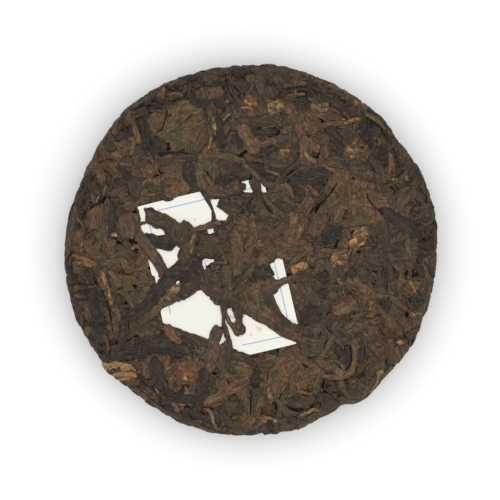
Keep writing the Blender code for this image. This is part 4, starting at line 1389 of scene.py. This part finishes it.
def mottle_and_shade_group():
    """A leaf's tone with blotches, streaks and specks, with painted shade in its crevices, fold grooves and along
    stretches of its edges, and a painted highlight on its fold ridges.
    """
    inputs = [
        ("Patchiness", "NodeSocketFloat", 0.5),
        ("Speckle", "NodeSocketFloat", 0.5),
        ("Wrinkles", "NodeSocketFloat", 0.5),
        ("Edges", "NodeSocketFloat", 0.0),
        ("Burnt", "NodeSocketFloat", 0.0),
    ]
    group, given, out = new_group(
        "leaf_mottle_and_painted_shade", inputs, [("Color", "NodeSocketColor"), ("Dark", "NodeSocketFloat")]
    )
    w = Wiring(group)
    colour = w.attribute("leaf_tone").outputs["Color"]
    place = w.attribute("leaf_place").outputs["Vector"]
    cake = w.stretched(w.node("ShaderNodeTexCoord").outputs["Object"], (1000.0, 1000.0, 1000.0))
    for number, (_, scale, low, high, tint) in enumerate(BLOTCHES):
        shifted = w.node("ShaderNodeVectorMath", operation="ADD")
        w.put(cake, shifted.inputs[0])
        shifted.inputs[1].default_value = (31.0 * number, 17.0 * number, 5.0 * number)
        patch = w.ramp(w.noise(shifted.outputs[0], scale, 3.0, 0.6), low, high)
        share = w.math("MULTIPLY", patch, given.outputs["Patchiness"])
        colour = w.mix(share, colour, w.mix(1.0, colour, tint, "MULTIPLY"))
    from_side = w.attribute("leaf_edge").outputs["Fac"]
    uneven = w.math("MULTIPLY", w.noise(cake, 0.9, 2.0), 0.7)
    faded = w.ramp(w.math("SUBTRACT", from_side, uneven), 0.12, -0.22)
    spots = w.ramp(w.noise(cake, 0.55, 4.0, 0.65), 0.42, 0.55)
    burnt = w.math("MULTIPLY", w.math("MAXIMUM", faded, spots), given.outputs["Burnt"])
    colour = w.mix(burnt, colour, (0.055, 0.036, 0.022, 1.0))
    streaks = w.noise(w.stretched(place, (0.22, 1.15, 1.0)), 1.0, 3.0, 0.6, 0.8)
    fine = w.noise(cake, 1.3, 3.0, 0.6)
    # Streaks and fine mottle are the leaf's own tone; the fold factor below adds painted shade and highlight.
    light = w.math(
        "MULTIPLY", w.ramp(streaks, 0.30, 0.70, 0.87, 1.14), w.ramp(fine, 0.25, 0.75, 0.78, 1.23)
    )
    # Painted shade in the fold grooves and a painted highlight on the fold ridges.
    fold_shade_and_highlight = w.ramp(given.outputs["Wrinkles"], 0.0, 0.6, 0.70, 1.09)
    light = w.math("MULTIPLY", light, fold_shade_and_highlight)
    gray = w.node("ShaderNodeCombineColor")
    for socket in gray.inputs:
        w.put(light, socket)
    colour = w.mix(1.0, colour, gray.outputs[0], "MULTIPLY")
    specks = w.node("ShaderNodeTexVoronoi")
    w.put(cake, specks.inputs["Vector"])
    specks.inputs["Scale"].default_value = 0.62
    dot = w.ramp(specks.outputs["Distance"], 0.22, 0.10)
    where = w.ramp(w.noise(cake, 0.25, 2.0), 0.50, 0.62)
    dot = w.math("MULTIPLY", w.math("MULTIPLY", dot, where), given.outputs["Speckle"])
    colour = w.mix(dot, colour, (0.20, 0.145, 0.075, 1.0))
    # Painted shadow along those stretches of leaf edges, as under a raised edge.
    colour = w.mix(w.math("MULTIPLY", given.outputs["Edges"], 0.6), colour, (0.011, 0.0075, 0.005, 1.0))
    # Painted shade: points that lie below their surroundings, and leaf undersides, go near black.
    dark = w.ramp(w.attribute("crevice_shade").outputs["Fac"], 0.35, 1.0)
    colour = w.mix(w.math("MULTIPLY", dark, 0.46), colour, (0.014, 0.010, 0.007, 1.0))
    w.put(colour, out.inputs["Color"])
    w.put(dark, out.inputs["Dark"])
    return group


relief = relief_group()
mottle_and_shade = mottle_and_shade_group()

# %% Leaf materials
def leaf_material(name, patchiness, speckle, burnt, roughness, wrinkled, crumpled):
    """A matt dry-leaf material from the shared groups. The last two are relief depths in mm."""
    material = bpy.data.materials.new(name)
    material.use_nodes = True
    w = Wiring(material.node_tree)
    shader = material.node_tree.nodes["Principled BSDF"]
    folds = w.node("ShaderNodeGroup", node_tree=relief)
    colour = w.node("ShaderNodeGroup", node_tree=mottle_and_shade)
    colour.inputs["Patchiness"].default_value = patchiness
    colour.inputs["Speckle"].default_value = speckle
    colour.inputs["Burnt"].default_value = burnt
    for label in ("Wrinkles", "Edges"):
        w.put(folds.outputs[label], colour.inputs[label])
    w.put(colour.outputs["Color"], shader.inputs["Base Color"])
    # rougher where the crevice shade is painted
    shine = w.ramp(colour.outputs["Dark"], 0.0, 1.0, roughness, 0.95)
    w.put(shine, shader.inputs["Roughness"])
    shader.inputs["Specular IOR Level"].default_value = 0.15
    height = w.math("MULTIPLY", folds.outputs["Wrinkles"], wrinkled)
    height = w.math("ADD", height, w.math("MULTIPLY", folds.outputs["Crumple"], crumpled))
    height = w.math("SUBTRACT", height, w.math("MULTIPLY", folds.outputs["Edges"], 0.25))
    bump = w.node("ShaderNodeBump")
    bump.inputs["Distance"].default_value = 1.0 * MM
    w.put(height, bump.inputs["Height"])
    w.put(bump.outputs["Normal"], shader.inputs["Normal"])
    return material


MATERIALS = {
    "broad": leaf_material("broad_leaf", 0.65, 0.5, 0.0, 0.62, 0.24, 1.3),
    "folded": leaf_material("folded_leaf", 0.55, 0.6, 0.0, 0.60, 0.28, 1.0),
    "rolled": leaf_material("rolled_leaf", 0.55, 0.5, 0.0, 0.58, 0.26, 0.8),
    "stem": leaf_material("leaf_stem", 0.5, 0.3, 0.3, 0.60, 0.15, 0.5),
    "tip": leaf_material("golden_tip", 0.5, 0.4, 0.8, 0.70, 0.16, 0.7),
    "scrap": leaf_material("leaf_scrap", 0.7, 0.5, 0.85, 0.68, 0.12, 0.9),
    "chip": leaf_material("leaf_chip", 0.7, 0.5, 0.45, 0.70, 0.05, 0.9),
    "shadow_strip": leaf_material("painted_shadow_strip", 0.2, 0.0, 0.0, 0.80, 0.0, 0.3),
}

# %% Make the leaf pieces
PIECES = {  # piece name: side, kinds
    "lower_broad_leaves": ("face", ("broad",)),
    "upper_broad_leaves": ("face", ("broad",)),
    "face_folded_leaves": ("face", ("folded",)),
    "face_rolled_leaves": ("face", ("rolled",)),
    "face_stems": ("face", ("stem",)),
    "golden_tips": ("face", ("tip",)),
    "face_scraps": ("face", ("scrap",)),
    "face_chips": ("face", ("chip",)),
    "painted_shadow_strips": ("face", ("shadow_strip",)),
    "back_broad_leaves": ("back", ("broad",)),
    "back_folded_leaves": ("back", ("folded", "rolled")),
    "back_scraps": ("back", ("scrap", "stem", "chip")),
}
leaf_pieces = []
for name, (side, kinds) in PIECES.items():
    members = [leaf for leaf in shown if leaf["side"] == side and leaf["kind"] in kinds]
    if kinds == ("broad",) and side == "face":
        members = [leaf for leaf in members if (leaf["seed"] <= bed_leaves) == name.startswith("lower")]
    leaf_pieces.append(leaf_piece(name, members, MATERIALS[kinds[0]]))

# %% [markdown]
# ## Crumbs
# Broken bits of leaf stick all over a pressed cake. They are too many and too alike to lay one by one, so
# Geometry Nodes strews them. The tree spreads points over a plain mesh of the pressed surface, sets a
# small flat flake on each, turns it and gives it a tone. The result is kept as a plain mesh.

# %% The ground that takes crumbs
GROUND_STEP = 0.8
CRUMB_SINK = 0.02  # how far a crumb's middle lies under the surface
CLEAR_OF_PAPER = 0.9  # how far crumbs stay off the open parts of the ticket
CLEAR_OF_FLOOR = 0.6  # how high the back must be to take crumbs


def crumb_ground():
    """The pressed surface of both sides as a plain mesh, which knows where crumbs may lie."""
    spots = np.arange(-LEAF_REACH, LEAF_REACH, GROUND_STEP)
    u, v = np.meshgrid(spots, spots)
    number = np.arange(u.size).reshape(u.shape)
    quads = np.stack(
        [number[:-1, :-1], number[:-1, 1:], number[1:, 1:], number[1:, :-1]], -1
    ).reshape(-1, 4)
    quads = quads[(np.hypot(u, v).ravel() < LEAF_REACH)[quads].all(1)]
    points = [
        on_cake(side, u, v, read_grid(surfaces[side], u, v) - CRUMB_SINK) for side in ("face", "back")
    ]
    bare = read_grid(blurred(keep_out.astype(float), CLEAR_OF_PAPER), u, v) < 0.02
    raised = points[1][..., 2] > CLEAR_OF_FLOOR
    mesh = bpy.data.meshes.new("crumb_ground")
    faces = np.vstack([quads, quads[:, ::-1] + u.size])
    mesh.from_pydata((np.vstack([p.reshape(-1, 3) for p in points]) * MM).tolist(), [], faces.tolist())
    store(mesh, "takes_crumbs", "FLOAT", "value", np.concatenate([bare.ravel(), raised.ravel()]))
    ground = bpy.data.objects.new("crumb_ground", mesh)
    bpy.context.scene.collection.objects.link(ground)
    return ground


# %% The tree that strews crumbs
def crumb_tree():
    """A Geometry Nodes tree: points on the ground, a flake on each, in sizes and tones between two limits."""
    tree = bpy.data.node_groups.new("strewn_crumbs", "GeometryNodeTree")
    inputs = ("Ground", "Geometry"), (
        "Crumbs per Square mm", "Float"
    ), ("Smallest", "Vector"), ("Largest", "Vector")
    inputs += ("Dark Tone", "Color"), ("Pale Tone", "Color"), ("Seed", "Int"), ("Finish", "Material")
    for label, kind in inputs:
        tree.interface.new_socket(label, in_out="INPUT", socket_type="NodeSocket" + kind)
    tree.interface.new_socket("Crumbs", in_out="OUTPUT", socket_type="NodeSocketGeometry")
    w = Wiring(tree)
    given = w.node("NodeGroupInput").outputs
    free = w.node("GeometryNodeInputNamedAttribute", data_type="FLOAT")
    free.inputs["Name"].default_value = "takes_crumbs"
    spread = w.node("GeometryNodeDistributePointsOnFaces")
    per_square_metre = w.math("MULTIPLY", given["Crumbs per Square mm"], 1 / MM**2)
    w.put(given["Ground"], spread.inputs["Mesh"])
    w.put(w.math("MULTIPLY", per_square_metre, free.outputs["Attribute"]), spread.inputs["Density"])
    w.put(given["Seed"], spread.inputs["Seed"])

    def chosen(low, high, kind, seed):
        """A random value for each crumb between these two."""
        pick = w.node("FunctionNodeRandomValue", data_type=kind)
        numbers = [socket for socket in pick.inputs if socket.enabled]
        w.put(low, numbers[0])
        w.put(high, numbers[1])
        w.put(seed, pick.inputs["Seed"])
        return next(socket for socket in pick.outputs if socket.enabled)

    flake = w.node("GeometryNodeMeshIcoSphere")
    flake.inputs["Radius"].default_value = 1.0
    flake.inputs["Subdivisions"].default_value = 1
    dented = w.node("GeometryNodeSetPosition")
    dents = w.node("ShaderNodeTexNoise")
    shift = w.node("ShaderNodeVectorMath", operation="SUBTRACT")
    w.put(dents.outputs["Color"], shift.inputs[0])
    shift.inputs[1].default_value = (0.5, 0.5, 0.5)
    w.put(flake.outputs["Mesh"], dented.inputs["Geometry"])
    w.put(shift.outputs[0], dented.inputs["Offset"])
    turn = w.node("FunctionNodeEulerToRotation")
    w.put(chosen((-0.2, -0.2, 0.0), (0.2, 0.2, math.tau), "FLOAT_VECTOR", 1), turn.inputs[0])
    turned = w.node("FunctionNodeRotateRotation", rotation_space="LOCAL")
    w.put(spread.outputs["Rotation"], turned.inputs["Rotation"])
    w.put(turn.outputs[0], turned.inputs["Rotate By"])
    placed = w.node("GeometryNodeInstanceOnPoints")
    w.put(spread.outputs["Points"], placed.inputs["Points"])
    w.put(dented.outputs["Geometry"], placed.inputs["Instance"])
    w.put(turned.outputs["Rotation"], placed.inputs["Rotation"])
    w.put(chosen(given["Smallest"], given["Largest"], "FLOAT_VECTOR", 2), placed.inputs["Scale"])
    tone = w.mix(chosen(0.0, 1.0, "FLOAT", 3), given["Dark Tone"], given["Pale Tone"])
    crumbs = placed.outputs["Instances"]
    for name, kind, value in (("leaf_tone", "FLOAT_COLOR", tone), ("leaf_edge", "FLOAT", 1.0)):
        kept = w.node("GeometryNodeStoreNamedAttribute", data_type=kind, domain="INSTANCE")
        w.put(crumbs, kept.inputs["Geometry"])
        kept.inputs["Name"].default_value = name
        w.put(value, kept.inputs["Value"])
        crumbs = kept.outputs["Geometry"]
    real = w.node("GeometryNodeRealizeInstances")
    finish = w.node("GeometryNodeSetMaterial")
    w.put(crumbs, real.inputs["Geometry"])
    w.put(real.outputs["Geometry"], finish.inputs["Geometry"])
    w.put(given["Finish"], finish.inputs["Material"])
    w.put(finish.outputs["Geometry"], w.node("NodeGroupOutput").inputs["Crumbs"])
    return tree


# %% Strew the crumbs
CRUMBS = {
    "Crumbs per Square mm": 0.14,
    "Smallest": (0.14 * MM, 0.08 * MM, 0.03 * MM),
    "Largest": (0.60 * MM, 0.28 * MM, 0.07 * MM),
    "Dark Tone": (*linear_colour((54, 47, 41)), 1.0),
    "Pale Tone": (*linear_colour((120, 100, 76)), 1.0),
    "Seed": 5,
    "Finish": MATERIALS["chip"],
}


def crumb_piece():
    """All the crumbs as one plain mesh."""
    ground = crumb_ground()
    tree = crumb_tree()
    modifier = ground.modifiers.new("crumbs", "NODES")
    modifier.node_group = tree
    for item in tree.interface.items_tree:
        if item.name in CRUMBS:
            modifier[item.identifier] = CRUMBS[item.name]
    graph = bpy.context.evaluated_depsgraph_get()
    mesh = bpy.data.meshes.new_from_object(
        ground.evaluated_get(graph), preserve_all_data_layers=True, depsgraph=graph
    )
    ground.modifiers.clear()
    bpy.data.objects.remove(ground)
    mesh.name = "leaf_crumbs"
    mesh.shade_smooth()
    count = len(mesh.polygons)
    cells = math.ceil(math.sqrt(count))
    corner = np.stack([np.arange(count) % cells, np.arange(count) // cells], -1)[:, None]
    layer = mesh.uv_layers.new(name="OFBake")
    places = (corner + np.array([(0.1, 0.1), (0.9, 0.1), (0.1, 0.9)])) / cells
    layer.uv.foreach_set("vector", places.astype(np.float32).ravel())
    piece = bpy.data.objects.new("leaf_crumbs", mesh)
    bpy.context.scene.collection.objects.link(piece)
    print(f"leaf_crumbs: {count} triangles")
    return piece


leaf_pieces.append(crumb_piece())

# %% [markdown]
# ## The core
# Under the leaves lies a smaller dark body, so that no light comes through the gaps. It is one closed
# turned surface, a little below the leaves everywhere, with the same rounded rim and dimple.

# %% Build the core
CORE_DEPTH = 1.1
CORE_ROWS, CORE_COLUMNS = 70, 160


def core_piece():
    """A closed turned body that stays CORE_DEPTH under the leaves."""
    walk = np.linspace(0, WHOLE_WALK, CORE_ROWS)[1:-1]
    angle = np.linspace(0, 2 * np.pi, CORE_COLUMNS, endpoint=False)
    depth = -CORE_DEPTH + 0.12 * noise(
        walk[:, None] / 2, 9 * np.cos(angle)[None] + 5 * np.sin(angle)[None], 4
    )
    radius = np.interp(
        walk, section_walk, section_r
    )[:, None] + depth * np.interp(walk, section_walk, out_r)[:, None]
    height = np.interp(
        walk, section_walk, section_z
    )[:, None] + depth * np.interp(walk, section_walk, out_z)[:, None]
    radius = np.maximum(radius, 0.05) * outline_scale(radius, np.broadcast_to(angle, radius.shape))
    points = np.stack([radius * np.cos(angle), radius * np.sin(angle), height], -1).reshape(-1, 3)
    poles = [(0, 0, CAKE_HEIGHT - CORE_DEPTH), (0, 0, DIMPLE_DEPTH + CORE_DEPTH)]
    rows = len(walk)
    number = np.arange(rows * CORE_COLUMNS).reshape(rows, CORE_COLUMNS)
    after = np.roll(number, -1, axis=1)
    faces = np.stack([number[:-1], number[1:], after[1:], after[:-1]], -1).reshape(-1, 4).tolist()
    top, bottom = rows * CORE_COLUMNS, rows * CORE_COLUMNS + 1
    faces += [[a, b, top] for a, b in zip(number[0].tolist(), after[0].tolist())]
    faces += [[b, a, bottom] for a, b in zip(number[-1].tolist(), after[-1].tolist())]
    mesh = bpy.data.meshes.new("cake_core")
    mesh.from_pydata((np.vstack([points, poles]) * MM).tolist(), [], faces)
    mesh.shade_smooth()
    core = bpy.data.objects.new("cake_core", mesh)
    bpy.context.scene.collection.objects.link(core)
    print(f"cake_core: {len(faces)} faces")
    return core


def core_material():
    """Nearly black packed tea dust."""
    material = bpy.data.materials.new("packed_tea_dust")
    material.use_nodes = True
    w = Wiring(material.node_tree)
    shader = material.node_tree.nodes["Principled BSDF"]
    place = w.node("ShaderNodeTexCoord").outputs["Object"]
    grains = w.noise(place, 900.0, 3.0)
    w.put(
        w.mix(grains, (0.010, 0.007, 0.005, 1.0), (0.040, 0.028, 0.018, 1.0)), shader.inputs["Base Color"]
    )
    shader.inputs["Roughness"].default_value = 0.9
    shader.inputs["Specular IOR Level"].default_value = 0.2
    bump = w.node("ShaderNodeBump")
    bump.inputs["Distance"].default_value = 0.3 * MM
    w.put(grains, bump.inputs["Height"])
    w.put(bump.outputs["Normal"], shader.inputs["Normal"])
    return material


core = core_piece()
core.data.materials.append(core_material())

# %% [markdown]
# ## The paper ticket
# The slip is a thin sheet that follows the pressed bed in slow waves. It carries a plain ruled frame in
# blue and a few tea stains, drawn by the material from the sheet's own coordinates in millimetres.

# %% Build the ticket
PAPER_STEP = 0.4
PAPER_SINK = 0.07  # how far the paper gives way under the leaves' edges
COVERED_SINK = 0.55  # and how far where leaves press on it
OPENING_EDGE = 0.6  # how far round an opening the paper stays up


def ticket_piece():
    """The paper, with a map in millimetres from its middle for the print."""
    columns = round(TICKET_SIZE[0] / PAPER_STEP)
    rows = round(TICKET_SIZE[1] / PAPER_STEP)
    x, y = np.meshgrid(
        np.linspace(-0.5, 0.5, columns + 1) * TICKET_SIZE[0],
        np.linspace(-0.5, 0.5, rows + 1) * TICKET_SIZE[1],
    )
    u, v = off_ticket(x, y)
    level = pressed("face", u, v, read_grid(paper_level, u, v) + PAPER_THICKNESS - PAPER_SINK)
    level = softened(level, 6)
    open_part = blurred(blurred(keep_out.astype(float), OPENING_EDGE) > 0.02, OPENING_EDGE / 2)
    level = level - COVERED_SINK * (1 - read_grid(open_part, u, v))
    upper = on_cake("face", u, v, level).reshape(-1, 3)
    lower = on_cake("face", u, v, level - PAPER_THICKNESS).reshape(-1, 3)
    number = np.arange(x.size).reshape(x.shape)
    top = np.stack([number[:-1, :-1], number[:-1, 1:], number[1:, 1:], number[1:, :-1]], -1).reshape(-1, 4)
    loop = np.concatenate([number[0, :-1], number[:-1, -1], number[-1, :0:-1], number[:0:-1, 0]])
    nearby = np.roll(loop, -1)
    walls = np.stack([loop, loop + x.size, nearby + x.size, nearby], -1)
    faces = np.vstack([top, top[:, ::-1] + x.size, walls])
    mesh = bpy.data.meshes.new("paper_ticket")
    mesh.from_pydata((np.vstack([upper, lower]) * MM).tolist(), [], faces.tolist())
    place = np.tile(np.stack([x, y, np.zeros_like(x)], -1).reshape(-1, 3), (2, 1))
    store(mesh, "paper_place", "FLOAT_VECTOR", "vector", place)
    mesh.shade_smooth()
    mesh.set_sharp_from_angle(angle=math.radians(40))
    ticket = bpy.data.objects.new("paper_ticket", mesh)
    bpy.context.scene.collection.objects.link(ticket)
    print(f"paper_ticket: {len(faces)} faces")
    return ticket


LINE_WIDTH = 0.30
STROKES = (  # the ruled frame and a few printed dashes: two ends each, from the ticket's middle
    ((-16.6, 22.65), (16.8, 22.65)),
    ((16.9, 22.65), (16.8, -17.2)),
    ((1.9, -21.9), (13.5, -22.2)),
    ((-16.6, 22.65), (-16.65, -7.9)),
    ((-3.1, 4.9), (-2.1, 4.7)),
    ((-3.4, 4.6), (-3.2, 3.6)),
    ((0.45, -12.3), (1.0, -13.5)),
)
STAINS = ((-3.1, 17.5, 0.6), (7.9, -18.5, 0.9), (5.2, -19.4, 0.6), (7.3, -17.6, 0.5))


def stroke_group():
    """How much of a straight printed stroke covers a place on the ticket."""
    inputs = [("Place", "NodeSocketVector", (0, 0, 0)), ("Start", "NodeSocketVector", (0, 0, 0)),
              ("End", "NodeSocketVector", (1, 0, 0)), ("Width", "NodeSocketFloat", LINE_WIDTH)]
    group, given, out = new_group("printed_stroke", inputs, [("Ink", "NodeSocketFloat")])
    w = Wiring(group)

    def vector(operation, *values, output="Vector"):
        made = w.node("ShaderNodeVectorMath", operation=operation)
        for value, socket in zip(values, made.inputs):
            w.put(value, socket)
        return made.outputs[output]

    start = given.outputs["Start"]
    along = vector("SUBTRACT", given.outputs["End"], start)
    across = vector("SUBTRACT", given.outputs["Place"], start)
    share = w.math("DIVIDE", vector("DOT_PRODUCT", across, along, output="Value"),
                   vector("DOT_PRODUCT", along, along, output="Value"), clamp=True)
    scaled = w.node("ShaderNodeVectorMath", operation="SCALE")
    w.put(along, scaled.inputs[0])
    w.put(share, scaled.inputs["Scale"])
    away = vector("DISTANCE", across, scaled.outputs[0], output="Value")
    width = given.outputs["Width"]
    w.put(w.ramp(away, w.math("MULTIPLY", width, 0.65), w.math("MULTIPLY", width, 0.35)), out.inputs["Ink"])
    return group


def paper_material():
    """Soft white paper with fibres, a blue frame line and tea stains."""
    material = bpy.data.materials.new("ticket_paper")
    material.use_nodes = True
    w = Wiring(material.node_tree)
    shader = material.node_tree.nodes["Principled BSDF"]
    place = w.attribute("paper_place").outputs["Vector"]
    fibres = w.noise(w.stretched(place, (1.0, 3.0, 1.0)), 2.0, 4.0)
    colour = w.mix(w.ramp(fibres, 0.3, 0.7), (0.72, 0.70, 0.63, 1.0), (0.75, 0.73, 0.665, 1.0))
    stroke = stroke_group()
    ink = 0.0
    for start, end in STROKES:
        line = w.node("ShaderNodeGroup", node_tree=stroke)
        w.put(place, line.inputs["Place"])
        line.inputs["Start"].default_value = (*start, 0)
        line.inputs["End"].default_value = (*end, 0)
        ink = w.math("MAXIMUM", line.outputs["Ink"], ink)
    worn = w.math("MULTIPLY", ink, w.ramp(fibres, 0.25, 0.5, 0.7, 0.95))
    colour = w.mix(worn, colour, (0.20, 0.34, 0.62, 1.0))
    blotch = w.noise(place, 2.2, 3.0)
    for x, y, radius in STAINS:
        away = w.node("ShaderNodeVectorMath", operation="DISTANCE")
        w.put(place, away.inputs[0])
        away.inputs[1].default_value = (x, y, 0)
        near = w.ramp(away.outputs["Value"], radius * 1.25, radius * 0.2)
        spot = w.math("MULTIPLY", near, w.ramp(blotch, 0.35, 0.60, 0.25, 0.85))
        colour = w.mix(spot, colour, (0.64, 0.40, 0.22, 1.0))
    w.put(colour, shader.inputs["Base Color"])
    shader.inputs["Roughness"].default_value = 0.85
    shader.inputs["Specular IOR Level"].default_value = 0.25
    bump = w.node("ShaderNodeBump")
    bump.inputs["Distance"].default_value = 0.02 * MM
    w.put(fibres, bump.inputs["Height"])
    w.put(bump.outputs["Normal"], shader.inputs["Normal"])
    return material


ticket = ticket_piece()
ticket.data.materials.append(paper_material())

# %% [markdown]
# ## Floor, light and camera
# The floor is plain white. Two square soft lights, low on opposite sides, and a bright surrounding give even
# light with a soft shadow all round the cake. The camera looks straight down through a long lens.

# %% Floor
def floor_plane():
    """A white floor that isn't part of the object."""
    bpy.ops.mesh.primitive_plane_add(size=6.0, location=(0, 0, 0))
    floor = bpy.context.object
    floor.name = "floor"
    material = bpy.data.materials.new("white_floor")
    material.use_nodes = True
    shader = material.node_tree.nodes["Principled BSDF"]
    shader.inputs["Base Color"].default_value = (0.90, 0.90, 0.90, 1.0)
    shader.inputs["Roughness"].default_value = 0.9
    shader.inputs["Specular IOR Level"].default_value = 0.0
    floor.data.materials.append(material)


floor_plane()

# %% Light
def soft_light(name, place, size, power):
    """A square area light that points at the cake."""
    light = bpy.data.lights.new(name, "AREA")
    light.size = size
    light.energy = power
    lamp = bpy.data.objects.new(name, light)
    lamp.location = place
    lamp.rotation_euler = (-lamp.location).to_track_quat("-Z", "Y").to_euler()
    bpy.context.scene.collection.objects.link(lamp)


soft_light("side_softbox", (1.25, -0.72, 0.75), 1.4, 2.6)
soft_light("far_softbox", (-1.25, 0.72, 0.9), 1.4, 1.2)
world = bpy.data.worlds.new("studio")
world.use_nodes = True
world.node_tree.nodes["Background"].inputs["Color"].default_value = (1.0, 1.0, 1.0, 1.0)
world.node_tree.nodes["Background"].inputs["Strength"].default_value = 1.19
bpy.context.scene.world = world
bpy.context.scene.view_settings.view_transform = "Standard"

# %% Camera
VIEW_WIDTH = 0.1483
CAMERA_HEIGHT = 3.0


def camera_above():
    """A long lens straight above the cake. The frame is VIEW_WIDTH across at the rim's height."""
    data = bpy.data.cameras.new("camera")
    data.sensor_width = 36.0
    data.lens = data.sensor_width * (CAMERA_HEIGHT - RIM_MIDDLE * MM) / VIEW_WIDTH
    data.clip_end = 20.0
    camera = bpy.data.objects.new("camera", data)
    camera.location = (0.0, 0.0, CAMERA_HEIGHT)
    bpy.context.scene.collection.objects.link(camera)
    bpy.context.scene.camera = camera


camera_above()

# %% [markdown]
# ## Hand over
# The pieces ride on the frame's one body. All the leaves and the core together stand for the solid cake,
# and the paper stands for the solid ticket.

# %% Ride, replace and finish
for piece in (core, *leaf_pieces):
    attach(piece, "root")
    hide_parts("pressed_tea")
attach(ticket, "root")
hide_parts("inner_ticket")
